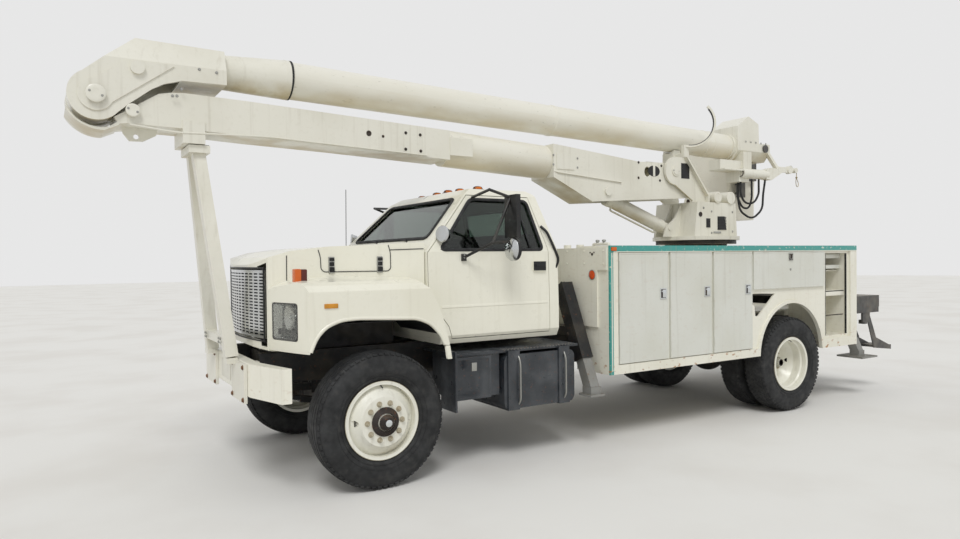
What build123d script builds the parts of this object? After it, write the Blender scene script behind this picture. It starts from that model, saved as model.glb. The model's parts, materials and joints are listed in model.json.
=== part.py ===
"""Bucket truck: conventional-cab line truck with a folding boom over the cab, in millimetres.

X runs forward, Y to the driver's side and Z up from the ground. Places along the truck are
measured from the front axle; the origin stands on the ground under the middle of the outline.
"""
import os
from math import atan2, cos, degrees, hypot, radians, sin, tan

from build123d import *

os.makedirs("parts", exist_ok=True)

# Outline and axles
NOSE_X = 2028.0  # front of the elbow, from the front axle
TAIL_X = -7250.0  # back of the tail step, from the front axle
AXLE_X = -(NOSE_X + TAIL_X) / 2.0
WHEELBASE = 5000.0
TYRE_R = 527.0
TYRE_W = 280.0
BEAD_R = 288.0
FRONT_TRACK_Y = 1030.0
REAR_OUTER_Y = 1075.0
REAR_INNER_Y = 739.0
FRONT_OFFSET = 150.0  # rim centre to the hub face
KINGPIN_Y = 850.0

# Chassis
RAIL_OUT = 432.0
RAIL_FLANGE = 80.0
RAIL_SHEET = 10.0
RAIL_TOP = 1020.0
RAIL_DEPTH = 250.0
RAIL_FRONT_X = 740.0
RAIL_REAR_X = -6860.0

# Cab and hood
CAB_WALL = 45.0
CAB_GAP = 6.0
SKIN = 25.0
FENDER_Y = 1130.0
CAB_FLOOR_Z = 1050.0

# Utility body
BODY_FRONT_X = -2250.0
BODY_REAR_X = -6250.0
BODY_Y = 1220.0
BODY_TOP = 1867.0
BODY_BOTTOM = 666.0
PACK_IN_Y = 740.0
SHEET = 20.0
DOOR_T = 22.0
DOOR_LIFT = 2.0
DECK_Z = 1100.0
ARCH_X = -4980.0
ARCH_Z = 655.0
ARCH_R = 565.0

# Aerial device
SWING_X = -4790.0
PIVOT_X = -4180.0
PIVOT_Z = 2770.0
ELBOW_X = 1843.0
ELBOW_Z = 2996.0
TIP_PIVOT_X = -5880.0
TIP_PIVOT_Z = 3153.0
PIN_R = 45.0
PIN_FIT = 0.3
BOOM_Y = 200.0
HOUSING_Y = 235.0
TUBE_R = 160.0
TUBE_SLOPE = 0.0283
TUBE_REF_X = -5400.0
TUBE_REF_Z = 3165.0
CYL_BASE_X = -4250.0
CYL_BASE_Z = 2100.0
CYL_EYE_X = -3153.0
CYL_EYE_Z = 2490.0


def at(x, y, z):
    """Place a point that is measured from the front axle."""
    return Location((AXLE_X + x, y, z))


def side(y=0.0):
    """Upright plane along the truck: forward and up; it extrudes towards the kerb side."""
    return Plane(origin=(AXLE_X, y, 0), x_dir=(1, 0, 0), z_dir=(0, -1, 0))


def across(x):
    """Upright plane across the truck: driver's side and up; it extrudes forward."""
    return Plane(origin=(AXLE_X + x, 0, 0), x_dir=(0, 1, 0), z_dir=(1, 0, 0))


def level(z):
    """Flat plane: forward and driver's side; it extrudes up."""
    return Plane(origin=(AXLE_X, 0, z))


def box(x0, x1, y0, y1, z0, z1, mode=Mode.ADD):
    """Add or cut a block between two corners in the open part."""
    with Locations(at((x0 + x1) / 2, (y0 + y1) / 2, (z0 + z1) / 2)):
        Box(abs(x1 - x0), abs(y1 - y0), abs(z1 - z0), mode=mode)


def rod_y(x, z, r, y0, y1, mode=Mode.ADD):
    """Add or cut a round bar along Y in the open part."""
    with Locations(at(x, (y0 + y1) / 2, z)):
        Cylinder(r, abs(y1 - y0), rotation=(90, 0, 0), mode=mode)


def save(piece, name):
    """Label a finished piece and write its file."""
    piece.label = name
    export_step(piece, f"parts/{name}.step")


def slant(start, end, width, depth):
    """A square bar in a plane across the truck or along it, from one point to another."""
    a = Vector(AXLE_X + start[0], start[1], start[2])
    b = Vector(AXLE_X + end[0], end[1], end[2])
    with BuildPart() as bar:
        with BuildSketch(Plane(origin=a, x_dir=(1, 0, 0), z_dir=(b - a).normalized())):
            Rectangle(width, depth)
        extrude(amount=(b - a).length)
    return bar.part


# Wheels: each hand has a tyre and a steel disc wheel, twins at the back
def tyre(y):
    """One tyre about the wheel's own axis, at y."""
    half = TYRE_W / 2
    with BuildPart() as ring:
        with BuildSketch(Plane(origin=(0, y, 0), x_dir=(0, 1, 0), z_dir=(1, 0, 0))):
            with BuildLine():
                Polyline((-99, BEAD_R + 16), (-99, BEAD_R), (99, BEAD_R), (99, BEAD_R + 16))
                ThreePointArc((99, BEAD_R + 16), (half, 400), (118, 498))
                Line((118, 498), (100, 517))
                ThreePointArc((100, 517), (0, TYRE_R), (-100, 517))
                Line((-100, 517), (-118, 498))
                ThreePointArc((-118, 498), (-half, 400), (-99, BEAD_R + 16))
            make_face()
        revolve(axis=Axis((0, y, 0), (0, 1, 0)))
    return ring.part


def disc_wheel(y, face):
    """One rim and disc about the wheel's own axis; face is the hub face's place along Y."""
    toward = 1 if face > y else -1
    with BuildPart() as wheel:
        with BuildSketch(Plane(origin=(0, 0, 0), x_dir=(0, 1, 0), z_dir=(1, 0, 0))):
            with BuildLine():
                Polyline(
                    (y - 112, BEAD_R + 14), (y - 100, BEAD_R + 14), (y - 100, BEAD_R - 1),
                    (y + 100, BEAD_R - 1), (y + 100, BEAD_R + 14), (y + 112, BEAD_R + 14),
                    (y + 112, BEAD_R - 12), (y + 60, BEAD_R - 14), (y + 45, BEAD_R - 26),
                    (y - 45, BEAD_R - 26), (y - 60, BEAD_R - 14), (y - 112, BEAD_R - 12), close=True)
            make_face()
            with BuildLine():
                Polyline(
                    (y + toward * 60, BEAD_R - 16), (face - toward * 30, 215), (face, 190), (face, 110),
                    (face - toward * 12, 110), (face - toward * 12, 184), (face - toward * 42, 205),
                    (y + toward * 34, BEAD_R - 20), close=True)
            make_face()
        revolve(axis=Axis((0, 0, 0), (0, 1, 0)))
        with Locations(Location((0, face - toward * 20, 0), (90, 0, 0))):
            with PolarLocations(230, 2):
                Cylinder(26, 90, mode=Mode.SUBTRACT)
    return wheel.part


def hub(inner, outer, cap):
    """Brake drum and hub about the wheel's own axis, from inner to the cap's end along Y."""
    with BuildPart() as body:
        with BuildSketch(Plane(origin=(0, 0, 0), x_dir=(0, 1, 0), z_dir=(1, 0, 0))):
            with BuildLine():
                Polyline(
                    (inner, 45.5), (outer - 40, 45.5), (outer - 40, 0.0), (cap, 0.0), (cap, 42),
                    (cap - 35, 60), (outer + 22, 70), (outer + 20, 108), (outer, 112),
                    (outer, 182), (outer - 26, 182), (outer - 40, 205), (inner, 208), (inner, 185),
                    (outer - 90, 185), (outer - 90, 90), (inner, 90), close=True)
            make_face()
        revolve(axis=Axis((0, 0, 0), (0, 1, 0)))
    return body.part


# name, along X, hand
WHEELS = (("front_left", 0.0, 1), ("front_right", 0.0, -1),
          ("rear_left", -WHEELBASE, 1), ("rear_right", -WHEELBASE, -1))
for place, wheel_x, hand in WHEELS:
    front = wheel_x == 0.0
    centres = (FRONT_TRACK_Y,) if front else (REAR_OUTER_Y, REAR_INNER_Y)
    face_y = FRONT_TRACK_Y + FRONT_OFFSET if front else (REAR_OUTER_Y + REAR_INNER_Y) / 2
    with BuildPart() as tyres:
        for centre in centres:
            add(tyre(centre))
    with BuildPart() as discs:
        for centre in centres:
            add(disc_wheel(centre, face_y + (0 if front else 6 * (1 if centre == REAR_OUTER_Y else -1))))
        if front:
            add(hub(face_y - 220, face_y - 12, face_y + 70))
        else:
            add(hub(face_y - 300, face_y - 18, face_y + 150))
    for piece, label in ((tyres.part, f"tyre_{place}"), (discs.part, f"wheel_{place}")):
        turned = piece if hand == 1 else mirror(piece, about=Plane.XZ, mode=Mode.PRIVATE)
        save(at(wheel_x, 0, TYRE_R) * turned, label)

# Steering knuckles: lugs above and below the axle's end, a plate, the spindle and a steering arm
LUG_GAP = 68.0
LUG_H = 38.0
for place, hand in (("left", 1), ("right", -1)):
    with BuildPart() as knuckle:
        for z in (TYRE_R + LUG_GAP + LUG_H / 2, TYRE_R - LUG_GAP - LUG_H / 2):
            with Locations(at(0, KINGPIN_Y, z)):
                Cylinder(48, LUG_H)
            box(-42, 42, KINGPIN_Y, KINGPIN_Y + 70, z - LUG_H / 2, z + LUG_H / 2)
            with Locations(at(0, KINGPIN_Y, z)):
                Cylinder(22 + PIN_FIT, LUG_H, mode=Mode.SUBTRACT)
        box(-48, 48, KINGPIN_Y + 52, KINGPIN_Y + 80, TYRE_R - 106, TYRE_R + 106)
        rod_y(0, TYRE_R, 45.5 - PIN_FIT, KINGPIN_Y + 60, FRONT_TRACK_Y + 90)
        rod_y(0, TYRE_R, 185, KINGPIN_Y + 80, KINGPIN_Y + 92)
        box(-210, 0, KINGPIN_Y - 42, KINGPIN_Y + 20, TYRE_R - 106, TYRE_R - 70)
        with Locations(at(0, KINGPIN_Y, TYRE_R - 88)):
            Cylinder(22 + PIN_FIT, 40, mode=Mode.SUBTRACT)
    turned = knuckle.part if hand == 1 else mirror(knuckle.part, about=Plane.XZ, mode=Mode.PRIVATE)
    save(turned, f"knuckle_{place}")

# Chassis: channel rails, cross members and the slanted outrigger housings
OUTRIGGER_X = (-2115.0, -6460.0)
LEG_TOP = (700.0, 1500.0)  # across and up, where the front housing's axis starts
LEG_FOOT = (1110.0, 545.0)
REAR_LEG_TOP = (829.0, 1176.0)
HOUSING_W = 130.0
HOUSING_WALL = 10.0
LEG_W = 104.0
CROSSMEMBERS = (560.0, -1400.0, -2700.0, -4000.0, -5500.0, -6700.0)

leg_run = hypot(LEG_FOOT[0] - LEG_TOP[0], LEG_FOOT[1] - LEG_TOP[1])
leg_dir = ((LEG_FOOT[0] - LEG_TOP[0]) / leg_run, (LEG_FOOT[1] - LEG_TOP[1]) / leg_run)


def along_leg(top, distance):
    """Point across and up, a distance down the leg's axis from its top."""
    return (top[0] + leg_dir[0] * distance, top[1] + leg_dir[1] * distance)


# along X, top of the axis, how far down it the housing ends, bottom and top of its beam
HOUSINGS = ((OUTRIGGER_X[0], LEG_TOP, 760.0, 1020.0, 1100.0),
            (OUTRIGGER_X[1], REAR_LEG_TOP, 520.0, 860.0, 1000.0))
# name part, along X, top of the axis, foot across, half a foot plate
LEGS = (("front", OUTRIGGER_X[0], LEG_TOP, 1110.0, 85.0),
        ("rear", OUTRIGGER_X[1], REAR_LEG_TOP, 1100.0, 165.0))
with BuildPart() as frame_rails:
    with BuildSketch(across(RAIL_REAR_X)):
        for hand in (1, -1):
            with Locations((hand * (RAIL_OUT - RAIL_FLANGE / 2), RAIL_TOP - RAIL_DEPTH / 2)):
                Rectangle(RAIL_FLANGE, RAIL_DEPTH)
            with Locations((hand * (RAIL_OUT - RAIL_FLANGE / 2 - RAIL_SHEET), RAIL_TOP - RAIL_DEPTH / 2)):
                Rectangle(RAIL_FLANGE, RAIL_DEPTH - 2 * RAIL_SHEET, mode=Mode.SUBTRACT)
    extrude(amount=RAIL_FRONT_X - RAIL_REAR_X)
    for x in CROSSMEMBERS:
        box(x - 50, x + 50, -RAIL_OUT + 5, RAIL_OUT - 5, RAIL_TOP - 170, RAIL_TOP - 40)
    # slanted outrigger housings with their beams across the rails
    for x, top, length, low, high in HOUSINGS:
        box(x - 60, x + 60, -RAIL_OUT - 1, RAIL_OUT + 1, RAIL_TOP - 1, RAIL_TOP + 60)
        for hand in (1, -1):
            box(x - 60, x + 60, hand * (RAIL_OUT - 1), hand * 900, low, high)
            start = along_leg(top, 0)
            end = along_leg(top, length)
            ends = ((x, hand * start[0], start[1]), (x, hand * end[0], end[1]))
            hollow = HOUSING_W - 2 * HOUSING_WALL
            add(slant(*ends, HOUSING_W, HOUSING_W))
            add(slant(*ends, hollow, hollow), mode=Mode.SUBTRACT)
save(frame_rails.part, "frame_rails")

# Outrigger legs with their foot plates
for place, x, top, foot, pad in LEGS:
    travel = (foot - top[0]) / leg_dir[0]
    for word, hand in (("left", 1), ("right", -1)):
        start = along_leg(top, 30)
        end = along_leg(top, travel)
        with BuildPart() as leg:
            add(slant((x, hand * start[0], start[1]), (x, hand * end[0], end[1]), LEG_W, LEG_W))
            box(x - 60, x + 60, hand * (foot - 60), hand * (foot + 60), end[1] - 45, end[1] + 20)
            box(x - pad, x + pad, hand * (foot - pad), hand * (foot + pad), end[1] - 65, end[1] - 45)
        save(leg.part, f"outrigger_leg_{place}_{word}")

# Axles on leaf springs
LEAVES = ((0.0, 700.0), (16.0, 560.0), (32.0, 420.0), (48.0, 280.0))  # drop below the main leaf, half length


def spring_pack(x, y, z, camber):
    """A pack of arched leaves along X at a rail, with its clamp."""
    with BuildPart() as pack:
        for drop, half in LEAVES:
            rise = camber * (half / 700.0) ** 2
            with BuildSketch(side(y + 38)):
                with BuildLine():
                    ThreePointArc((x - half, z - drop + rise), (x, z - drop), (x + half, z - drop + rise))
                    Line((x + half, z - drop + rise), (x + half, z - drop + rise - 17))
                    ThreePointArc((x + half, z - drop + rise - 17), (x, z - drop - 17),
                                  (x - half, z - drop + rise - 17))
                    Line((x - half, z - drop + rise - 17), (x - half, z - drop + rise))
                make_face()
            extrude(amount=76)
        box(x - 70, x + 70, y - 50, y + 50, z - 90, z + 25)
        for end in (-1, 1):
            eye = x + end * 700
            box(eye - 25, eye + 25, y - 30, y + 30, z + camber - 20, RAIL_TOP - RAIL_DEPTH)
    return pack.part


with BuildPart() as axle_front:
    box(-55, 55, -760, 760, 430, 520)
    for hand in (1, -1):
        box(-44, 44, hand * 690, hand * KINGPIN_Y, TYRE_R - 65, TYRE_R + 65)
        with Locations(at(0, hand * KINGPIN_Y, TYRE_R)):
            Cylinder(44, 130)
            Cylinder(22, 220)
        add(spring_pack(0.0, hand * (RAIL_OUT - 45), 608.0, 110.0))

with BuildPart() as axle_rear:
    rod_y(-WHEELBASE, TYRE_R, 78, -590, 590)
    rod_y(-WHEELBASE, TYRE_R, 45.5 - PIN_FIT, -840, 840)
    with Locations(at(-WHEELBASE, 0, TYRE_R)):
        Sphere(215)
    with Locations(at(-WHEELBASE + 180, 0, TYRE_R)):
        Cylinder(110, 240, rotation=(0, 90, 0))
    for hand in (1, -1):
        add(spring_pack(-WHEELBASE, hand * (RAIL_OUT - 45), 690.0, 60.0))
save(Compound(children=[axle_front.part, axle_rear.part]), "axles")

# Engine with its radiator, gearbox and shaft, and the tanks and pipe under the rails
with BuildPart() as driveline:
    box(-470, 430, -330, 330, 790, 1480)
    box(520, 590, -340, 340, 985, 1560)
    box(-1250, -470, -200, 200, 700, 1010)
    with Locations(at(-2870, 0, 700)):
        Cylinder(55, 3300, rotation=(0, 88, 0))
    for hand in (1, -1):
        with Locations(at(-3250, hand * 585, 780)):
            Cylinder(125, 700, rotation=(0, 90, 0))
        box(-3270, -3230, hand * (RAIL_OUT + 1), hand * 520, 820, 900)
    with Locations(at(-3600, -560, 575)):
        Cylinder(55, 1500, rotation=(0, 90, 0))
    box(-3450, -3420, -580, -540, 620, 700)
save(driveline.part, "driveline_and_tanks")

# Cab: a shell between two inset forms, split at the doors and cut for its windows
CAB_OUTLINE = (  # forward, up
    (-598, 1050), (-598, 1090), (-474, 1330), (-474, 1820), (-535, 1892), (-965, 2330), (-1060, 2385),
    (-1220, 2404),
    (-1660, 2395), (-1725, 2350), (-1823, 1860), (-1823, 1050))
CAB_HALF_SECTION = (  # across, up
    (0, 1050), (965, 1050), (1000, 1120), (1000, 1360), (985, 1820), (775, 2330), (700, 2385), (0, 2404))
DOOR_OUTLINE = (
    (-700, 1090), (-664, 1200), (-598, 1285), (-543, 1385), (-480, 1465), (-480, 1815), (-560, 1893),
    (-975, 2322), (-1640, 2322), (-1722, 1850), (-1722, 1090))
SIDE_WINDOW = ((-608, 1836), (-1004, 2284), (-1606, 2284), (-1662, 1836))
WINDSCREEN = ((-800, 1935), (-665, 2290), (665, 2290), (800, 1935))
BACK_WINDOW = ((-560, 1890), (-520, 2230), (520, 2230), (560, 1890))
GLASS_IN = 12.0
GLASS_T = 6.0


def cab_form(ends, sides):
    """Solid form of the cab, drawn in from its skin at the ends and at the sides."""
    with BuildPart() as form:
        with BuildSketch(side(1100)):
            Polygon(*CAB_OUTLINE, align=None)
            if ends:
                offset(amount=-ends, kind=Kind.INTERSECTION, mode=Mode.REPLACE)
        extrude(amount=2200)
        with BuildSketch(across(-2100)):
            Polygon(*CAB_HALF_SECTION, *[(-y, z) for y, z in CAB_HALF_SECTION[-2:0:-1]], align=None)
            if sides:
                offset(amount=-sides, kind=Kind.INTERSECTION, mode=Mode.REPLACE)
        extrude(amount=2100, mode=Mode.INTERSECT)
    return form.part


def prism_y(points, y0, y1, grow=0.0):
    """Straight prism across the truck over an outline of forward and up."""
    with BuildPart() as prism:
        with BuildSketch(side(max(y0, y1))):
            Polygon(*points, align=None)
            if grow:
                offset(amount=grow, kind=Kind.INTERSECTION, mode=Mode.REPLACE)
        extrude(amount=abs(y1 - y0))
    return prism.part


def prism_x(points, x0, x1):
    """Straight prism along the truck over an outline of across and up."""
    with BuildPart() as prism:
        with BuildSketch(across(min(x0, x1))):
            Polygon(*points, align=None)
        extrude(amount=abs(x1 - x0))
    return prism.part


cab_outer = cab_form(0, 0)
cab_inner = cab_form(CAB_WALL, CAB_WALL)
cab_core = cab_form(-60, CAB_WALL)  # all but the two side skins
windscreen_prism = prism_x(WINDSCREEN, -1100, -480)
back_prism = prism_x(BACK_WINDOW, -1900, -1700)
with BuildPart() as cab_shell:
    add(cab_outer)
    add(cab_inner, mode=Mode.SUBTRACT)
    with BuildPart(mode=Mode.PRIVATE) as doorways:
        add([prism_y(DOOR_OUTLINE, 500, 1100), prism_y(DOOR_OUTLINE, -500, -1100)])
        add(cab_core, mode=Mode.SUBTRACT)
    add(doorways.part, mode=Mode.SUBTRACT)
    add(windscreen_prism, mode=Mode.SUBTRACT)
    add(back_prism, mode=Mode.SUBTRACT)
    for x in (-760, -1640):
        box(x - 60, x + 60, -470, 470, RAIL_TOP, CAB_FLOOR_Z + 5)
save(cab_shell.part, "cab_shell")

glass_layer = cab_form(GLASS_IN, GLASS_IN)
glass_back = cab_form(GLASS_IN + GLASS_T, GLASS_IN + GLASS_T)
with BuildPart() as cab_glass:
    add(glass_layer)
    add(glass_back, mode=Mode.SUBTRACT)
    add([windscreen_prism, back_prism], mode=Mode.INTERSECT)
save(cab_glass.part, "cab_glass")

# Doors: the shell's own form inside the door outline, less the gap, with glass and mirrors
MIRROR_TUBE = 12.0
for word, hand in (("left", 1), ("right", -1)):
    with BuildPart() as door:
        add(cab_outer)
        add(cab_core, mode=Mode.SUBTRACT)
        add(prism_y(DOOR_OUTLINE, hand * 500, hand * 1100, grow=-CAB_GAP), mode=Mode.INTERSECT)
        add(prism_y(SIDE_WINDOW, hand * 500, hand * 1100), mode=Mode.SUBTRACT)
        box(-1670, -1540, hand * 975, hand * 1012, 1645, 1730)
    save(door.part, f"cab_door_{word}")
    with BuildPart() as pane:
        add(cab_form(-60, GLASS_IN))
        add(cab_form(-60, GLASS_IN + GLASS_T), mode=Mode.SUBTRACT)
        add(prism_y(SIDE_WINDOW, hand * 500, hand * 1100), mode=Mode.INTERSECT)
    save(pane.part, f"cab_door_glass_{word}")
    # frame of bent tube: forward, across, up of each joint
    runs = (
        ((-820, 1000, 1770), (-960, 1235, 1890)), ((-960, 1235, 1890), (-1160, 1240, 1900)),
        ((-1160, 1240, 1900), (-1145, 1225, 2270)), ((-1145, 1225, 2270), (-960, 1190, 2330)),
        ((-960, 1190, 2330), (-1030, 802, 2300)), ((-960, 1235, 1890), (-1145, 1225, 2270)))
    with BuildPart() as mirrors:
        for start, end in runs:
            a = Vector(AXLE_X + start[0], hand * start[1], start[2])
            b = Vector(AXLE_X + end[0], hand * end[1], end[2])
            with BuildSketch(Plane(origin=a, z_dir=(b - a).normalized())):
                Circle(MIRROR_TUBE)
            extrude(amount=(b - a).length)
            with Locations(Location((b.X, b.Y, b.Z))):
                Sphere(MIRROR_TUBE + 1)
        box(-1175, -1135, hand * 1150, hand * 1330, 1930, 2290)
        with Locations(at(-1165, hand * 1240, 1835)):
            Cylinder(95, 34, rotation=(0, 90, 0))
        box(-840, -800, hand * 988, hand * 1010, 1740, 1800)
    save(mirrors.part, f"mirrors_{word}")

# Inside the cab: bench seat, dashboard with column and steering wheel
with BuildPart() as cab_seat:
    box(-1700, -1160, -820, 820, 1290, 1450)
    with BuildSketch(side(820)):
        Polygon((-1560, 1450), (-1620, 1995), (-1735, 1995), (-1720, 1450), align=None)
    extrude(amount=1640)
save(cab_seat.part, "cab_seat")

with BuildPart() as dashboard:
    box(-1700, -1200, -780, 780, 1096, 1289)
    with BuildSketch(side(890)):
        Polygon((-560, 1560), (-560, 1820), (-640, 1870), (-830, 1840), (-850, 1600), (-700, 1540),
                align=None)
    extrude(amount=1780)
    column = slant((-800, 430, 1640), (-985, 430, 1815), 60, 60)
    add(column)
    with BuildSketch(Plane(origin=(AXLE_X - 990, 430, 1820), x_dir=(0, 1, 0), z_dir=(-0.72, 0, 0.69))):
        Circle(225)
        Circle(203, mode=Mode.SUBTRACT)
        Rectangle(420, 34)
        with Locations((0, -104)):
            Rectangle(34, 200)
        Circle(52)
    extrude(amount=22, both=True)
save(dashboard.part, "dashboard")

# Tilting hood with fenders: side outlines cut by the rounded plan of the nose
HOOD_TOP = (
    (-486, 1060), (-486, 1899), (280, 1868), (560, 1835), (720, 1786), (780, 1730), (770, 1075), (690, 1060))
TAIL_SEAM_Z = 1063.0
FENDER_OUTLINE = (
    (770, 1075), (785, 1400), (765, 1490), (700, 1560), (600, 1604), (100, 1650), (-200, 1652), (-330, 1615),
    (-430, 1530), (-504, 1391), (-546, 1282), (-600, 1083), (-603, TAIL_SEAM_Z), (-566, TAIL_SEAM_Z),
    (-530, 1152), (-445, 1246), (-318, 1300), (190, 1326), (324, 1318), (436, 1274), (510, 1199),
    (560, 1075))
FENDER_SECTION = (
    (1150, 900), (1150, 1470), (1128, 1530), (1085, 1572), (1030, 1596), (600, 1662), (400, 1662))
PLAN_OUTLINE_HALF = ((-700, 960), (-486, 960), (640, 655), (900, 600))
GRILLE_OPENING = (560.0, 1140.0, 1700.0)  # half width, bottom, top
NOSE_ARC = (560.0, 792.0)  # forward at the fender's side, forward at the middle
REAR_EDGE = ((-468, 1920), (-468, 1330), (-592, 1090), (-592, 1040), (-700, 1040), (-700, 930), (900, 930),
             (900, 1920))
LAMP_HALF = (690.0, 1010.0)
LAMP_Z = 1302.0
LAMP_H = 285.0


def nose_plan(inset):
    """Plan of the whole front end with its curved nose, as a tall prism."""
    with BuildPart() as plan:
        with BuildSketch(level(900)):
            with BuildLine():
                Polyline((NOSE_ARC[0] - inset, FENDER_Y - inset), (-800, FENDER_Y - inset),
                         (-800, -FENDER_Y + inset), (NOSE_ARC[0] - inset, -FENDER_Y + inset))
                ThreePointArc((NOSE_ARC[0] - inset, -FENDER_Y + inset), (NOSE_ARC[1] - inset, 0),
                              (NOSE_ARC[0] - inset, FENDER_Y - inset))
            make_face()
        extrude(amount=1100)
    return plan.part


def hood_form(inset):
    """Upper hood between the fenders, tapering towards the nose, drawn in by the inset."""
    with BuildPart() as form:
        with BuildSketch(side(1000)):
            Polygon(*HOOD_TOP, align=None)
            if inset:
                offset(amount=-inset, kind=Kind.INTERSECTION, mode=Mode.REPLACE)
        extrude(amount=2000)
        with BuildSketch(level(900)):
            Polygon(*[(x, y - inset) for x, y in PLAN_OUTLINE_HALF],
                    *[(x, inset - y) for x, y in PLAN_OUTLINE_HALF[::-1]], align=None)
        extrude(amount=1100, mode=Mode.INTERSECT)
    return form.part


def fender_form(inset):
    """Both fenders with their rounded tops, drawn in by the inset."""
    with BuildPart() as form:
        for hand in (1, -1):
            add(prism_y(FENDER_OUTLINE, hand * (500 - 4 * inset), hand * (FENDER_Y - inset), grow=-inset))
        with BuildSketch(across(-700)):
            Polygon(*[(y - inset, z - inset) for y, z in FENDER_SECTION],
                    *[(inset - y, z - inset) for y, z in FENDER_SECTION[::-1]], align=None)
        extrude(amount=1600, mode=Mode.INTERSECT)
    return form.part


with BuildPart() as hood:
    add(hood_form(0))
    add(fender_form(0))
    add(hood_form(SKIN), mode=Mode.SUBTRACT)
    box(-900, 640, -640, 640, 900, 1500, mode=Mode.SUBTRACT)
    with BuildPart(mode=Mode.PRIVATE) as wheelhouse:
        add(fender_form(SKIN))
        for hand in (1, -1):
            box(-900, 540, hand * 400, hand * (FENDER_Y - SKIN), 900, 1290)
        add(nose_plan(SKIN), mode=Mode.INTERSECT)
    add(wheelhouse.part, mode=Mode.SUBTRACT)
    add(nose_plan(0), mode=Mode.INTERSECT)
    with BuildPart(mode=Mode.PRIVATE) as reach:
        add(prism_y(REAR_EDGE, -1010, 1010))
        box(-700, 900, 1006, 1300, 930, 1920)
        box(-700, 900, -1300, -1006, 930, 1920)
    add(reach.part, mode=Mode.INTERSECT)
    box(500, 900, -GRILLE_OPENING[0], GRILLE_OPENING[0], GRILLE_OPENING[1], GRILLE_OPENING[2],
        mode=Mode.SUBTRACT)
    with BuildSketch(across(560)):
        for hand in (1, -1):
            with Locations((hand * (LAMP_HALF[0] + LAMP_HALF[1]) / 2, LAMP_Z)):
                RectangleRounded(LAMP_HALF[1] - LAMP_HALF[0], LAMP_H, 28)
    extrude(amount=340, mode=Mode.SUBTRACT)
save(hood.part, "hood")

# Grille: a curved frame with upright bars and short slots between them
GRILLE_ROWS = 20
GRILLE_BARS = 11
with BuildPart() as grille:
    add(nose_plan(6))
    add(nose_plan(28), mode=Mode.SUBTRACT)
    box(500, 900, -GRILLE_OPENING[0], GRILLE_OPENING[0], GRILLE_OPENING[1] + 12, GRILLE_OPENING[2] - 14,
        mode=Mode.INTERSECT)
    pitch_y = 2 * GRILLE_OPENING[0] / GRILLE_BARS
    pitch_z = (GRILLE_OPENING[2] - GRILLE_OPENING[1] - 60) / GRILLE_ROWS
    with BuildSketch(across(500)):
        with Locations((0, (GRILLE_OPENING[1] + GRILLE_OPENING[2]) / 2)):
            with GridLocations(pitch_y, pitch_z, GRILLE_BARS, GRILLE_ROWS):
                Rectangle(pitch_y - 30, pitch_z * 0.45)
    extrude(amount=400, mode=Mode.SUBTRACT)
save(grille.part, "grille")

# Headlamps set into the nose, with turn lamps and side markers on the fenders
with BuildPart() as front_lamps:
    add(nose_plan(2))
    add(nose_plan(SKIN + 12), mode=Mode.SUBTRACT)
    with BuildSketch(across(500)):
        for hand in (1, -1):
            with Locations((hand * (LAMP_HALF[0] + LAMP_HALF[1]) / 2, LAMP_Z)):
                RectangleRounded(LAMP_HALF[1] - LAMP_HALF[0], LAMP_H, 28)
    extrude(amount=400, mode=Mode.INTERSECT)
    with BuildPart(mode=Mode.PRIVATE) as lamp_flange:
        add(nose_plan(SKIN))
        add(nose_plan(SKIN + 12), mode=Mode.SUBTRACT)
        with BuildSketch(across(500)):
            for hand in (1, -1):
                with Locations((hand * (LAMP_HALF[0] + LAMP_HALF[1]) / 2, LAMP_Z)):
                    RectangleRounded(LAMP_HALF[1] - LAMP_HALF[0] + 30, LAMP_H + 30, 40)
        extrude(amount=400, mode=Mode.INTERSECT)
    add(lamp_flange.part)
    for hand in (1, -1):
        box(515, 605, hand * 870, hand * 960, 1560, 1690)
        box(340, 450, hand * (FENDER_Y - 2), hand * (FENDER_Y + 10), 1405, 1440)
    add(hood.part, mode=Mode.SUBTRACT)
save(front_lamps.part, "front_lamps")

# Side boxes under the cab: battery box, fuel tank, wheel flaps and the fenders' fixed tails
FENDER_TAIL = ((-604, TAIL_SEAM_Z - 6), (-568, TAIL_SEAM_Z - 6), (-582, 950), (-622, 950))
with BuildPart() as side_boxes:
    for hand in (1, -1):
        box(-1130, -700, hand * 640, hand * 1050, 590, 952)
        with BuildSketch(side(hand * 1090 if hand == 1 else -470)):
            with Locations((-1540, 690)):
                RectangleRounded(770, 470, 60)
        extrude(amount=620)
        for x in (-1250, -1800):
            box(x - 60, x + 60, hand * 480, hand * 1102, 446, 960)
        box(-1975, -690, hand * 480, hand * 1080, 950, 972)
        box(-1975, -1880, hand * 435, hand * 500, 800, 951)
        box(-1130, -1050, hand * 433, hand * 660, 800, 900)
        box(-668, -650, hand * 880, hand * 1130, 500, 925)
        box(-705, -650, hand * 1000, hand * 1040, 880, 955)
        box(-668, -650, hand * 1000, hand * FENDER_Y, 900, 1000)
        box(-668, -575, hand * 1085, hand * (FENDER_Y - SKIN + 1), 960, 1000)
        add(prism_y(FENDER_TAIL, hand * (FENDER_Y - SKIN), hand * FENDER_Y))
save(side_boxes.part, "side_boxes")

# Front bumper with swept ends, and the boom support standing on its brackets
SUPPORT_FOOT = (945.0, 364.0, 1006.0)  # forward, across, up
SUPPORT_HEAD = (1120.0, 102.0, 2640.0)
SUPPORT_W = 95.0
SUPPORT_TOP = 2684.0
with BuildPart() as front_bumper:
    with BuildSketch(level(740)):
        Polygon((905, 0), (905, 700), (772, 1150), (700, 1150), (812, 690), (812, 0),
                (812, -690), (700, -1150), (772, -1150), (905, -700), align=None)
    extrude(amount=250)
    fillet(front_bumper.edges().group_by(Axis.X)[-1].filter_by(Axis.Y), radius=14)
    for hand in (1, -1):
        box(741, 815, hand * 352, hand * 432, 770, 960)
save(front_bumper.part, "front_bumper")

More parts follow.
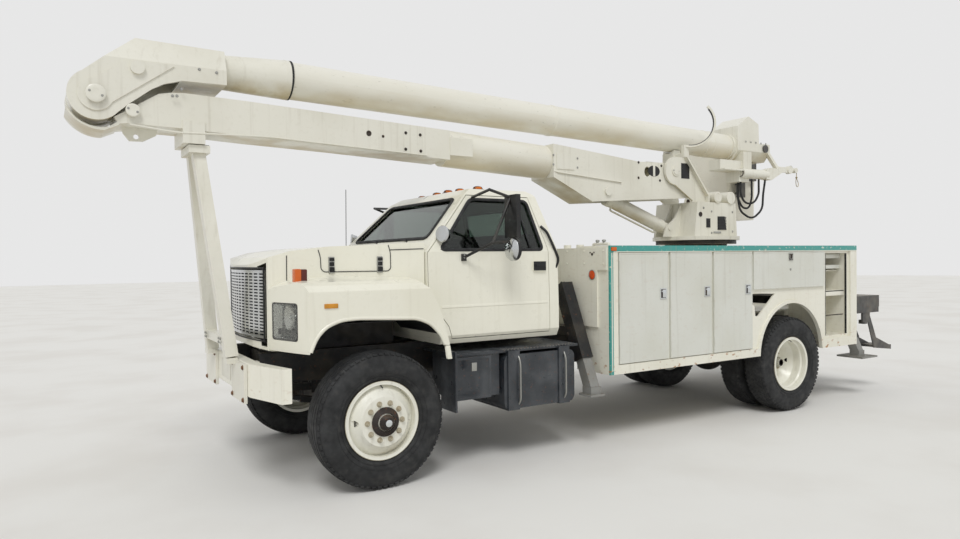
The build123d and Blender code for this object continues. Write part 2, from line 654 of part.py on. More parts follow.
with BuildPart() as boom_support:
    for hand in (1, -1):
        box(906, 930, hand * 300, hand * 710, 690, 989)
        box(908, 992, hand * 310, hand * 430, 960, 1004)
        add(slant((SUPPORT_FOOT[0], hand * SUPPORT_FOOT[1], SUPPORT_FOOT[2]),
                  (SUPPORT_HEAD[0], hand * SUPPORT_HEAD[1], SUPPORT_HEAD[2]), SUPPORT_W, SUPPORT_W))
    box(920, 1000, -345, 345, 1100, 1170)
    box(1040, 1200, -190, 190, SUPPORT_TOP - 60, SUPPORT_TOP)
save(boom_support.part, "boom_support")

# Utility body: side packs with compartments and a wheelhouse, flush with the doors' backs
FACE_Y = BODY_Y - DOOR_T - DOOR_LIFT
# name part, front, back, bottom, top of each door
UPRIGHT_DOORS = ((1, -2365, -3010, 760, 1800), (2, -3040, -3640, 760, 1800), (3, -3670, -4280, 760, 1800))
FLAP_DOOR = (4, -4305, -5590, 1392, 1800)
REAR_DOOR = (5, -5620, -6095, 780, 1800)
RIM = 24.0  # how far each opening lies inside its door
SHELF_Z = 1330.0


def compartment(doorway, hand):
    """Cut the space behind one door."""
    _, front, back, bottom, top = doorway
    box(front - RIM, back + RIM, hand * (PACK_IN_Y + SHEET), hand * (BODY_Y + 10),
        bottom + RIM, top - RIM, mode=Mode.SUBTRACT)


for word, hand in (("left", 1), ("right", -1)):
    with BuildPart() as pack:
        box(BODY_FRONT_X, BODY_REAR_X, hand * PACK_IN_Y, hand * FACE_Y, BODY_BOTTOM, BODY_TOP)
        for doorway in (*UPRIGHT_DOORS, FLAP_DOOR, REAR_DOOR):
            compartment(doorway, hand)
        box(-4320, -5596, hand * (PACK_IN_Y - 10), hand * (FACE_Y - SHEET), BODY_BOTTOM - 10, 1340,
            mode=Mode.SUBTRACT)
        rod_y(ARCH_X, ARCH_Z, ARCH_R, hand * 900, hand * 1300, mode=Mode.SUBTRACT)
        # rail over the doors, corner posts and the sill, proud of the face
        box(BODY_FRONT_X, BODY_REAR_X, hand * FACE_Y, hand * BODY_Y, 1806, BODY_TOP)
        box(BODY_FRONT_X, BODY_FRONT_X - 100, hand * FACE_Y, hand * BODY_Y, BODY_BOTTOM, 1810)
        box(BODY_REAR_X, BODY_REAR_X + 130, hand * FACE_Y, hand * BODY_Y, BODY_BOTTOM, 1810)
        box(BODY_FRONT_X, -4420, hand * FACE_Y, hand * BODY_Y, BODY_BOTTOM, 752)
        box(-5545, BODY_REAR_X, hand * FACE_Y, hand * BODY_Y, BODY_BOTTOM, 772)
        rod_y(ARCH_X, ARCH_Z, ARCH_R, hand * 900, hand * 1300, mode=Mode.SUBTRACT)
        # shelf of the rear compartment and the cut-away panel ahead of the arch
        box(REAR_DOOR[1] - RIM, REAR_DOOR[2] + RIM, hand * (PACK_IN_Y + SHEET), hand * (FACE_Y - 30),
            SHELF_Z - 12, SHELF_Z)
        box(REAR_DOOR[1] - RIM, REAR_DOOR[2] + RIM, hand * (PACK_IN_Y + SHEET), hand * (PACK_IN_Y + 330),
            1560, 1572)
        if hand == 1:
            with BuildSketch(side(1300)):
                Polygon((-4300, 1350), (-4700, 1335), (-4415, 1100), (-4360, 1100), (-4345, 1215),
                        (-4300, 1230), align=None)
            extrude(amount=160, mode=Mode.SUBTRACT)
        # rolled lip round the arch
        with BuildSketch(side(hand * BODY_Y if hand == 1 else -FACE_Y)):
            with Locations((ARCH_X, ARCH_Z)):
                Circle(ARCH_R + 34)
                Circle(ARCH_R, mode=Mode.SUBTRACT)
            with Locations((ARCH_X, ARCH_Z - 700 + 15)):
                Rectangle(1400, 1400, mode=Mode.SUBTRACT)
        extrude(amount=BODY_Y - FACE_Y)
    save(pack.part, f"body_pack_{word}")

    for doorway in (*UPRIGHT_DOORS, FLAP_DOOR, REAR_DOOR):
        number, front, back, bottom, top = doorway
        if hand == 1 and number == 5:
            continue
        with BuildPart() as panel:
            box(front, back, hand * (BODY_Y - DOOR_T), hand * BODY_Y, bottom, top)
            if number == 4:
                box(-4985, -4905, hand * (BODY_Y - 12), hand * (BODY_Y + 6), 1700, 1780)
            else:
                latch = back + 75 if number < 5 else front - 75
                box(latch - 42, latch + 42, hand * (BODY_Y - 12), hand * (BODY_Y + 5), 1350, 1450)
        save(panel.part, f"locker_door_{word}_{number}")

# Deck between the packs, with the gusseted pedestal up to the turntable bearing
with BuildPart() as body_deck:
    box(BODY_FRONT_X, BODY_REAR_X, -PACK_IN_Y + 1, PACK_IN_Y - 1, DECK_Z - 25, DECK_Z)
    for x in (-2320, -3300, -4400, -5560, -6180):
        box(x - 40, x + 40, -PACK_IN_Y + 1, PACK_IN_Y - 1, RAIL_TOP, DECK_Z - 20)
    with Locations(at(SWING_X, 0, (DECK_Z + 1900) / 2)):
        Cylinder(300, 1900 - DECK_Z)
        Cylinder(280, 1900 - DECK_Z, mode=Mode.SUBTRACT)
    with Locations(at(SWING_X, 0, 1890)):
        Cylinder(370, 30)
    for turn in (45, 135, 225, 315):
        across_x, across_y = cos(radians(turn)), sin(radians(turn))
        with BuildSketch(Plane(origin=(AXLE_X + SWING_X, 0, 0), x_dir=(across_x, across_y, 0),
                               z_dir=(across_y, -across_x, 0))):
            Polygon((290, DECK_Z - 1), (560, DECK_Z - 1), (300, 1600), (290, 1600), align=None)
        extrude(amount=10, both=True)

# Shelf at the tail with the hitch, the hook and the step
with BuildPart() as tail_shelf:
    box(BODY_REAR_X - 1, -6910, -1130, 1130, 1205, 1235)
    box(-6895, -6910, -1130, 1130, 1090, 1210)
    for y in (-1130, -445, 433, 1118):
        box(BODY_REAR_X - 1, -6900, y, y + 12, 1022, 1210)
    box(-6861, -6900, -430, 430, 780, 1100)
    with Locations(at(-6925, 0, 880)):
        Cylinder(60, 70, rotation=(0, 90, 0))
    with Locations(at(-6990, 0, 890)):
        Box(90, 60, 40)
    rod_y(-7010, 850, 25, -28, 28)
    # side bracket with its hook and the step hung from the shelf
    box(-6560, -6720, 1095, 1118, 900, 1100)
    box(-6600, -6660, 1040, 1118, 880, 930)
    for y in (820, 1085):
        with BuildSketch(side(y + 12)):
            Polygon((-6640, 1100), (-6700, 1100), (-6900, 690), (TAIL_X, 560), (TAIL_X, 515), (-6850, 560),
                    align=None)
        extrude(amount=12)
    box(-7010, TAIL_X, 820, 1097, 545, 575)
save(tail_shelf.part, "tail_shelf")

# Oil tank at the front of the deck with its caps
with BuildPart() as oil_tank:
    with BuildSketch(across(BODY_FRONT_X + 1)):
        Polygon((300, 1101), (1060, 1101), (1060, 1640), (1190, 1640), (1190, 1850), (300, 1850), align=None)
    extrude(amount=18)
    box(BODY_FRONT_X + 2, BODY_FRONT_X - 300, 300, PACK_IN_Y - 6, DECK_Z + 1, 1850)
    for y in (420, 620):
        with Locations(at(BODY_FRONT_X - 150, y, 1868)):
            Cylinder(38, 38)
save(Compound(children=[body_deck.part, oil_tank.part]), "deck_and_pedestal")

# Lamps on the cab roof, the body's corners and the tail
with BuildPart() as body_lamps:
    for y in (-560, -230, 0, 230, 560):
        with Locations(at(-1235, y, 2424.5 - abs(y) * 0.0272)):
            Box(100, 70, 38)
    for hand in (1, -1):
        box(-2262, -2330, hand * BODY_Y, hand * (BODY_Y + 12), 1815, 1855)
        box(BODY_REAR_X, BODY_REAR_X - 45, hand * 1060, hand * 1160, 1490, 1720)
save(body_lamps.part, "body_lamps")

# Turret on its bearing: box, ears for the boom's pin, cylinder clevis, rest for the upper boom
TURRET_Y = 330.0
EAR_IN = 215.0
EAR_T = 28.0
EAR_R = 165.0
REST_X = -4370.0
BASE_PIN_R = 30.0
ARM_TURN = radians(40)


def tube_z(x):
    """Height of the upper boom's axis at a place along the truck, stowed."""
    return TUBE_REF_Z + TUBE_SLOPE * (x - TUBE_REF_X)


with BuildPart() as turret:
    with Locations(at(SWING_X, 0, 1931)):
        Cylinder(480, 50)
    with Locations(at(SWING_X, 0, 1976)):
        Cylinder(524, 44)
    with BuildSketch(side(TURRET_Y)):
        Polygon((-4400, 1996), (-4455, 2410), (-5140, 2410), (-5165, 1996), align=None)
    extrude(amount=2 * TURRET_Y)
    for hand in (1, -1):
        with BuildSketch(side(hand * EAR_IN if hand == -1 else EAR_IN + EAR_T)):
            Polygon((-4045, 2678), (-4290, 2890), (-4330, 2935), (-4180, 2935), (-4035, 2850), align=None)
            Polygon((-4035, 2690), (-4180, 2935), (-4330, 2935), (-4700, 2500), (-4700, 2400), (-4460, 2400),
                    (-4470, 2430), align=None)
            with Locations((PIVOT_X, PIVOT_Z)):
                Circle(EAR_R)
        extrude(amount=EAR_T)
        # stiffener down the back of each ear
        with BuildSketch(side(hand * EAR_IN if hand == -1 else EAR_IN + 80)):
            Polygon((-4318, 2935), (-4340, 2935), (-4712, 2496), (-4712, 2405), (-4690, 2405), (-4690, 2490),
                    align=None)
        extrude(amount=80)
        # cylinder clevis
        with BuildSketch(side(hand * 60 if hand == -1 else 85)):
            Polygon((-4470, 1996), (-4470, 2400), (-4440, 2400), (-4345, 2230), (-4270, 2168), (-4185, 2100),
                    (-4150, 1996), align=None)
        extrude(amount=25)
    rod_y(PIVOT_X, PIVOT_Z, PIN_R - PIN_FIT, -EAR_IN - EAR_T - 18, EAR_IN + EAR_T + 18)
    rod_y(PIVOT_X, PIVOT_Z, 62, EAR_IN + EAR_T, EAR_IN + EAR_T + 12)
    rod_y(PIVOT_X, PIVOT_Z, 62, -EAR_IN - EAR_T - 12, -EAR_IN - EAR_T)
    rod_y(CYL_BASE_X, CYL_BASE_Z, BASE_PIN_R - PIN_FIT, -95, 95)
    # rest under the upper boom on a plate across the ears, with the hold-down arm standing open
    box(REST_X - 85, REST_X + 65, -EAR_IN - EAR_T, EAR_IN + EAR_T, 2852, 2880)
    box(REST_X - 70, REST_X + 60, -85, 85, 2870, tube_z(REST_X) - TUBE_R - 22)
    box(REST_X - 60, REST_X + 20, 80, 225, 2950, 2990)
    box(REST_X - 60, REST_X + 20, 180, 225, 2985, 3095)
    with BuildSketch(Plane(origin=(AXLE_X + REST_X - 20, 210, 0), x_dir=(-cos(ARM_TURN), sin(ARM_TURN), 0),
                           z_dir=(sin(ARM_TURN), cos(ARM_TURN), 0))):
        with BuildLine():
            ThreePointArc((0, 3070), (340, 3270), (262, 3555))
            Line((262, 3555), (248, 3538))
            ThreePointArc((248, 3538), (318, 3278), (0, 3092))
            Line((0, 3092), (0, 3070))
        make_face()
    extrude(amount=25, both=True)
    # valve and gearbox on the box
    rod_y(-4800, 2474, 68, 110, 345)
    rod_y(-5035, 2474, 74, 60, 350)
# wear pads of the saddle on the column's head
pads = []
for hand in (1, -1):
    with BuildPart() as pad:
        box(REST_X - 60, REST_X + 50, hand * 40, hand * 84, tube_z(REST_X) - TUBE_R - 22, 3060)
        with BuildSketch(across(REST_X - 90)):
            with Locations((0, tube_z(REST_X))):
                Circle(TUBE_R + 9)
        extrude(amount=180, mode=Mode.SUBTRACT)
    pads.append(pad.part)
save(Compound(children=[turret.part, *pads]), "turret")

# Lower boom: steel front box with the elbow's tongue, round insulating insert, steel rear box
INSERT_FRONT_X = -1150.0
INSERT_REAR_X = -2400.0
INSERT_FRONT_Z = 2851.0
INSERT_REAR_Z = 2788.0
INSERT_R = 180.0
FRONT_BOX = (
    (1724, 2847), (1415, 3052), (1324, 3072), (1220, 3079), (726, 3067), (-1150, 2991), (-1150, 2711),
    (-60, 2756), (731, 2780), (1245, 2803), (1640, 2808), (1690, 2800))
REAR_BOX = (
    (-2400, 2962), (-3630, 2850), (-4180, 2865), (-4290, 2800), (-4440, 2500), (-4440, 2460), (-2930, 2370),
    (-2400, 2612))
TONGUE_Y = 40.0
TONGUE_R = 125.0
REST_FOOT_X = (1080.0, 1245.0)
REST_FOOT_Z = 2690.0


def at_elbow(r, angle):
    """Point at a radius and angle about the elbow pin, forward and up."""
    return (ELBOW_X + r * cos(radians(angle)), ELBOW_Z + r * sin(radians(angle)))


with BuildPart() as lower_boom:
    add(prism_y(FRONT_BOX, -BOOM_Y, BOOM_Y))
    with BuildSketch(side(TONGUE_Y)):
        Polygon((1150, 2830), (1150, 3050), (1800, 3113), at_elbow(TONGUE_R, -70), (1650, 2815), align=None)
        with Locations((ELBOW_X, ELBOW_Z)):
            Circle(TONGUE_R)
    extrude(amount=2 * TONGUE_Y)
    rod_y(ELBOW_X, ELBOW_Z, PIN_R, -300, 300, mode=Mode.SUBTRACT)
    # guard plate under the elbow
    with BuildSketch(side(BOOM_Y)):
        with BuildLine():
            ThreePointArc(at_elbow(223, -30), at_elbow(234, -66), at_elbow(258, -102))
            Line(at_elbow(258, -102), (1694, 2788))
            Line((1694, 2788), (1680, 2830))
            Line((1680, 2830), at_elbow(240, -112))
            ThreePointArc(at_elbow(240, -112), at_elbow(220, -66), at_elbow(211, -30))
            Line(at_elbow(211, -30), at_elbow(223, -30))
        make_face()
    extrude(amount=2 * BOOM_Y)
    # lug with its eye, rest foot and the lower link pin's caps
    with BuildSketch(side(14)):
        Polygon((1660, 2815), (1648, 2761), (1605, 2705), (1506, 2708), (1413, 2760), (1400, 2815),
                align=None)
        with Locations((1556, 2741)):
            Circle(20, mode=Mode.SUBTRACT)
    extrude(amount=28)
    box(REST_FOOT_X[0], REST_FOOT_X[1], -190, 190, REST_FOOT_Z, 2810)
    for hand in (1, -1):
        box(REST_FOOT_X[0], REST_FOOT_X[1], hand * (BOOM_Y - 12), hand * (BOOM_Y + 12), REST_FOOT_Z, 2866)
        rod_y(1598, 2902, 44, hand * (BOOM_Y - 1), hand * (BOOM_Y + 26))
        box(INSERT_FRONT_X + 1, INSERT_FRONT_X - 250, hand * (INSERT_R + 2), hand * (BOOM_Y + 8), 2755, 2925)
    rod_y(-317, 2895, 26, -300, 300, mode=Mode.SUBTRACT)
with BuildPart() as lower_insert:
    with BuildSketch(across(INSERT_REAR_X)):
        with Locations((0, INSERT_REAR_Z)):
            Circle(INSERT_R)
    with BuildSketch(across(INSERT_FRONT_X)):
        with Locations((0, INSERT_FRONT_Z)):
            Circle(INSERT_R)
    loft()
save(lower_insert.part, "lower_boom_insert")

with BuildPart() as rear_box:
    add(prism_y(REAR_BOX, -BOOM_Y, BOOM_Y))
    with BuildSketch(side(BOOM_Y - 16)):
        Polygon((-2950, 2300), (-2950, 2895), (-3630, 2832), (-4180, 2847), (-4275, 2790), (-4500, 2500),
                (-4500, 2300), align=None)
    extrude(amount=2 * (BOOM_Y - 16), mode=Mode.SUBTRACT)
    for hand in (1, -1):
        rod_y(PIVOT_X, PIVOT_Z, 88, hand * 125, hand * BOOM_Y)
        rod_y(CYL_EYE_X, CYL_EYE_Z, 46, hand * (BOOM_Y - 10), hand * (BOOM_Y + 22))
        rod_y(CYL_EYE_X, CYL_EYE_Z, 60, hand * 60, hand * BOOM_Y)
        box(-2440, -2675, hand * (BOOM_Y - 1), hand * (BOOM_Y + 8), 2700, 2865)
    rod_y(PIVOT_X, PIVOT_Z, PIN_R, -300, 300, mode=Mode.SUBTRACT)
    with BuildSketch(side(400)):
        with Locations((-3764, 2742)):
            Ellipse(48, 58)
    extrude(amount=800, mode=Mode.SUBTRACT)
lower_steel = Compound(children=[lower_boom.part, rear_box.part])
save(lower_steel, "lower_boom")

# Lift cylinder between the turret's clevis and the rear box
cyl_run = hypot(CYL_EYE_X - CYL_BASE_X, CYL_EYE_Z - CYL_BASE_Z)
cyl_angle = degrees(atan2(CYL_EYE_Z - CYL_BASE_Z, CYL_EYE_X - CYL_BASE_X))
cyl_dir = (cos(radians(cyl_angle)), 0, sin(radians(cyl_angle)))
cyl_start = Vector(AXLE_X + CYL_BASE_X, 0, CYL_BASE_Z)
ROD_R = 42.0


def on_cylinder(distance):
    """Plane square to the cylinder, a distance up from its base pin."""
    return Plane(origin=cyl_start + Vector(*cyl_dir) * distance, x_dir=(0, 1, 0), z_dir=cyl_dir)


with BuildPart() as lift_barrel:
    with BuildSketch(on_cylinder(80)):
        Circle(80)
    extrude(amount=930)
    with BuildSketch(on_cylinder(0)):
        Rectangle(100, 110)
    extrude(amount=90)
    rod_y(CYL_BASE_X, CYL_BASE_Z, 60, -52, 52)
    rod_y(CYL_BASE_X, CYL_BASE_Z, BASE_PIN_R, -100, 100, mode=Mode.SUBTRACT)
    with BuildSketch(on_cylinder(150)):
        Circle(ROD_R + PIN_FIT)
    extrude(amount=900, mode=Mode.SUBTRACT)
save(lift_barrel.part, "lift_cylinder_barrel")
with BuildPart() as lift_rod:
    with BuildSketch(on_cylinder(190)):
        Circle(ROD_R)
    extrude(amount=cyl_run - 190 - 30)
    rod_y(CYL_EYE_X, CYL_EYE_Z, 58, -52, 52)
save(lift_rod.part, "lift_cylinder_rod")

# Elbow pin with its caps and the drum on each side of the tongue
DRUM_R = 183.0
DRUM_IN = 44.0
DRUM_OUT = 202.0
with BuildPart() as elbow_pin:
    rod_y(ELBOW_X, ELBOW_Z, PIN_R - PIN_FIT, -HOUSING_Y - 32, HOUSING_Y + 32)
    for hand in (1, -1):
        rod_y(ELBOW_X, ELBOW_Z, 60, hand * (HOUSING_Y + 12), hand * (HOUSING_Y + 38))
        rod_y(ELBOW_X, ELBOW_Z, DRUM_R, hand * DRUM_IN, hand * DRUM_OUT)
save(elbow_pin.part, "elbow_pin")

# Upper boom: elbow housing of two cheeks under a bevelled roof, tube and tip
HOUSING = ((914, 3171), (914, 3457), (1566, 3469), (1927, 3161))
HOUSING_UNDER = ((1709, 2880), (1464, 3077), (1380, 3125), (1250, 3165))
NOSE_R = 185.0
CHEEK_IN = 207.0
BEVEL_Z = 3285.0
ROOF_Y = 150.0
ROOF_CUT = 268.0
with BuildPart() as housing:
    with BuildSketch(side(HOUSING_Y)):
        Polygon(*HOUSING, (1843, 2996), *HOUSING_UNDER, align=None)
        Polygon((1927, 3161), (1843, 2996), (1700, 3050), (1566, 3300), align=None)
        Polygon((1843, 2996), (1709, 2870), (1500, 3060), (1600, 3200), align=None)
        with Locations((ELBOW_X, ELBOW_Z)):
            Circle(NOSE_R)
    extrude(amount=2 * HOUSING_Y)
    with BuildSketch(across(700)):
        Polygon((HOUSING_Y, 2700), (HOUSING_Y, BEVEL_Z), (ROOF_Y, 3480), (-ROOF_Y, 3480),
                (-HOUSING_Y, BEVEL_Z), (-HOUSING_Y, 2700), align=None)
    extrude(amount=1500, mode=Mode.INTERSECT)
    # hollow between the cheeks, open below and round the nose
    with BuildPart(mode=Mode.PRIVATE) as hollow:
        with BuildSketch(side(CHEEK_IN)):
            Polygon((928, 3186), (928, 3443), (1560, 3455), (1905, 3161), (2100, 3100), (2100, 2700),
                    (1300, 2700), (1260, 3180), align=None)
            with Locations((ELBOW_X, ELBOW_Z)):
                Circle(ROOF_CUT)
        extrude(amount=2 * CHEEK_IN)
        with BuildSketch(across(700)):
            Polygon((CHEEK_IN, 2600), (CHEEK_IN, BEVEL_Z - 6), (ROOF_Y - 8, 3466), (8 - ROOF_Y, 3466),
                    (-CHEEK_IN, BEVEL_Z - 6), (-CHEEK_IN, 2600), align=None)
        extrude(amount=1500, mode=Mode.INTERSECT)
    add(hollow.part, mode=Mode.SUBTRACT)
    for hand in (1, -1):
        with BuildSketch(side(hand * HOUSING_Y if hand == -1 else HOUSING_Y + 10)):
            Polygon((1634, 3275), (1905, 3075), at_elbow(118, 10), at_elbow(118, -70), (1750, 2936),
                    (1304, 3267), (1345, 3275), align=None)
            with Locations((ELBOW_X, ELBOW_Z)):
                Circle(118)
        extrude(amount=10)
        rod_y(1563, 3222, 50, hand * (HOUSING_Y + 9), hand * (HOUSING_Y + 36))
    rod_y(1563, 3222, 36, -CHEEK_IN - 2, CHEEK_IN + 2)
    rod_y(ELBOW_X, ELBOW_Z, PIN_R, -300, 300, mode=Mode.SUBTRACT)
    # steel collar that the tube is bolted into
    with BuildSketch(across(360)):
        with Locations((0, tube_z(360))):
            Circle(TUBE_R + 8)
    with BuildSketch(across(916)):
        with Locations((0, tube_z(916) - 18)):
            Circle(TUBE_R - 20)
    loft()
save(housing.part, "upper_boom_housing")

with BuildPart() as upper_tube:
    with BuildSketch(across(-5320)):
        with Locations((0, tube_z(-5320))):
            Circle(TUBE_R)
    with BuildSketch(across(360)):
        with Locations((0, tube_z(360))):
            Circle(TUBE_R)
    loft()
save(upper_tube.part, "upper_boom_tube")

TIP_Y = 210.0
with BuildPart() as boom_tip:
    with BuildSketch(across(-5360)):
        with Locations((0, tube_z(-5340))):
            Circle(TUBE_R + 14)
    extrude(amount=39.5)
    with BuildSketch(across(-5985)):
        Polygon((TIP_Y, 3105), (TIP_Y, 3216), (-TIP_Y, 3216), (-TIP_Y, 3105), (-120, 2992), (120, 2992),
                align=None)
    extrude(amount=635)
    with BuildSketch(side(TIP_Y - 6)):
        Polygon((-5351, 3214), (-5353, 3414), (-5567, 3551), (-5763, 3466), (-5772, 3214), align=None)
    extrude(amount=2 * (TIP_Y - 6))
    rod_y(TIP_PIVOT_X, TIP_PIVOT_Z, 40.3, -300, 300, mode=Mode.SUBTRACT)
    # hanging frame with the jib tube, its bracket and sheave
    box(-5400, -5560, 60, 250, 2860, 3085)
    box(-4990, -5410, 50, 225, 2838, 2965)
    box(-5000, -5560, 40, 290, 2832, 2850)
    box(-5330, -5520, 40, 240, 2700, 2845)
    with Locations(at(-5600, 250, 2806)):
        Cylinder(62, 500, rotation=(0, 90, 0))
    with BuildSketch(side(300)):
        Polygon((-5800, 2750), (-5800, 2870), (-5900, 2900), (-6120, 2890), (-6125, 2850), (-5900, 2740),
                align=None)
    extrude(amount=100)
    add(slant((-5955, 190, 3105), (-6105, 245, 2875), 46, 46))
    box(-6100, -6330, 235, 265, 2860, 2930)
    rod_y(-6330, 2900, 52, 222, 278)
    box(-6330, -6480, 240, 260, 2885, 2925)
    rod_y(-6460, 2900, 34, 225, 275)
save(boom_tip.part, "boom_tip")

# Hydraulic hoses hanging under the tip, and the winch line's eye at the jib's sheave
HOSE_R = 13.0
LINE_R = 4.25
HOSE_ROUTES = (  # forward, across, up of each corner, then the bends
    (((-5830, 250, 2741.5), (-5800, 242, 2560), (-5812, 220, 2360), (-5650, 185, 2225), (-5455, 152, 2330),
      (-5425, 140, 2520), (-5440, 140, 2698.8)), (190, 150, 140, 140, 170)),
    (((-5480, 90, 2699), (-5490, 86, 2520), (-5600, 72, 2385), (-5770, 50, 2380), (-5852, 30, 2540),
      (-5862, 20, 2780), (-5850, 15, 2991)), (190, 150, 130, 150, 190)),
    (((-5400, 205, 2699.4), (-5395, 205, 2560), (-5480, 200, 2430), (-5630, 235, 2430), (-5700, 250, 2560),
      (-5700, 250, 2743.9)), (150, 130, 130, 150)))
LINE_ROUTE = (
    (-6499, 250, 2895), (-6499, 250, 2850), (-6496, 251, 2806), (-6473, 258, 2768), (-6468, 261, 2724),
    (-6484, 260, 2684), (-6522, 256, 2682), (-6541, 250, 2720), (-6535, 244, 2764), (-6512, 239, 2800))


def hose(route, bends, r):
    """Round hose along a route with rounded corners."""
    points = [(AXLE_X + x, y, z) for x, y, z in route]
    with BuildPart() as tube:
        with BuildLine() as path:
            FilletPolyline(*points, radius=bends)
        with BuildSketch(Plane(origin=points[0], z_dir=path.line % 0)):
            Circle(r)
        sweep()
    return tube.part


def line_bends(route):
    """Largest bend that each corner of a route leaves room for."""
    corners = [Vector(*point) for point in route]
    bends = []
    for before, corner, after in zip(corners, corners[1:], corners[2:]):
        arriving, leaving = corner - before, after - corner
        turn = arriving.get_angle(leaving)
        bends.append(0.45 * min(arriving.length, leaving.length) / tan(radians(turn / 2)))
    return bends


save(Compound(children=[hose(route, bends, HOSE_R) for route, bends in HOSE_ROUTES]), "tip_hoses")
line_radii = line_bends(LINE_ROUTE)
print("winch line radii", [round(bend, 1) for bend in line_radii])
with BuildPart() as winch_line:
    add(hose(LINE_ROUTE, line_radii, LINE_R))
    with Locations(at(-6504, 245, 2804)):
        Sphere(15)
save(winch_line.part, "winch_line")

# Bucket beside the tip on its levelling shaft
BUCKET_X = (-5805.0, -6415.0)
BUCKET_Y = (-300.0, -1060.0)
BUCKET_Z = (2262.0, 3330.0)
with BuildPart() as bucket:
    with BuildSketch(level(BUCKET_Z[1])):
        with Locations(((BUCKET_X[0] + BUCKET_X[1]) / 2, (BUCKET_Y[0] + BUCKET_Y[1]) / 2)):
            RectangleRounded(BUCKET_X[0] - BUCKET_X[1], BUCKET_Y[0] - BUCKET_Y[1], 70)
    extrude(amount=-(BUCKET_Z[1] - BUCKET_Z[0]), taper=1.5)
    with BuildSketch(level(BUCKET_Z[1])):
        with Locations(((BUCKET_X[0] + BUCKET_X[1]) / 2, (BUCKET_Y[0] + BUCKET_Y[1]) / 2)):
            RectangleRounded(BUCKET_X[0] - BUCKET_X[1] - 24, BUCKET_Y[0] - BUCKET_Y[1] - 24, 58)
    extrude(amount=-(BUCKET_Z[1] - BUCKET_Z[0] - 14), taper=1.5, mode=Mode.SUBTRACT)
save(bucket.part, "bucket")
with BuildPart() as bucket_mount:
    rod_y(TIP_PIVOT_X, TIP_PIVOT_Z, 40, -256, 224)
    rod_y(TIP_PIVOT_X, TIP_PIVOT_Z, 50, 215, 230)
    rod_y(TIP_PIVOT_X, TIP_PIVOT_Z, 85, -256, -216)
    box(-5850, -6330, -299.5, -255, 2800, 3200)
    box(-5900, -6050, -256, -225, 2560, 2810)
save(bucket_mount.part, "bucket_mount")
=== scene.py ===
"""Finishes and small parts of the bucket truck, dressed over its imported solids."""

import json
import logging
import math
from dataclasses import dataclass
from enum import Enum

import bmesh
import bpy
from mathutils import Matrix, Vector

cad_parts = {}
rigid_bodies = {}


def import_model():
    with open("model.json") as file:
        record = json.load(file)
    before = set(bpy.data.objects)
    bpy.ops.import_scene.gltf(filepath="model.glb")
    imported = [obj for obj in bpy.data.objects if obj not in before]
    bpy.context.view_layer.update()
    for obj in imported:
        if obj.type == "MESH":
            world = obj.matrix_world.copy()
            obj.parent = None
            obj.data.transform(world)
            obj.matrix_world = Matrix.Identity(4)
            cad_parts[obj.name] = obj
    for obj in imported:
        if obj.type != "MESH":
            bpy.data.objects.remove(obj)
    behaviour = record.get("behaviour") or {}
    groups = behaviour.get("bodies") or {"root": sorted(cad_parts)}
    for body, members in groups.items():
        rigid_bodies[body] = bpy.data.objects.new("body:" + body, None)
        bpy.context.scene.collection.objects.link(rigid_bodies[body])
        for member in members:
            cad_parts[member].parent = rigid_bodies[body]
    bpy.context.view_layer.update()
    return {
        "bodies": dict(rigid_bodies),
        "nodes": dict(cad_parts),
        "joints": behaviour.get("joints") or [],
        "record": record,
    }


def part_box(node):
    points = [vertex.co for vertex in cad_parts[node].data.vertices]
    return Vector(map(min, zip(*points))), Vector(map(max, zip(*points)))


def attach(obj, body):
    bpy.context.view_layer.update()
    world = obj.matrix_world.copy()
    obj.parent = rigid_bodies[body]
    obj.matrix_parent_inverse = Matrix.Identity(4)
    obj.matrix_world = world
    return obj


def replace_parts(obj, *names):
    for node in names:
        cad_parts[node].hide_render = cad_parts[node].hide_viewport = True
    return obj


LOG = logging.getLogger("truck")
AXLE = 2.611  # the front axle's place forward of the frame's origin

Place = tuple[float, float, float]
Flat = tuple[float, float]
Mat = bpy.types.Material
Obj = bpy.types.Object


class Along(Enum):
    """Direction that a drawn outline is pushed along, with the axes that the outline is drawn in."""

    X = ((0, 1, 0), (0, 0, 1), (1, 0, 0))
    Y = ((1, 0, 0), (0, 0, 1), (0, 1, 0))
    Z = ((1, 0, 0), (0, 1, 0), (0, 0, 1))


def at(x: float, y: float, z: float) -> Vector:
    """Point of the frame, from a place forward of the front axle.

    Args:
        x: Metres forward of the front axle.
        y: Metres to the driver's side.
        z: Metres above the ground.

    Returns:
        The point in the shared frame.
    """
    return Vector((AXLE + x, y, z))


def linear(code: str) -> tuple[float, float, float, float]:
    """Turns an sRGB hex colour to linear values.

    Args:
        code: Six hex digits after a hash.

    Returns:
        Red, green, blue and a full alpha.
    """
    parts = [int(code[i:i + 2], 16) / 255 for i in (1, 3, 5)]
    red, green, blue = (c / 12.92 if c <= 0.04045 else ((c + 0.055) / 1.055) ** 2.4 for c in parts)
    return red, green, blue, 1.0


# Finishes

MIX_SHARE, MIX_LOW, MIX_HIGH, MIX_COLOUR = 0, 6, 7, 2  # sockets of a colour Mix node


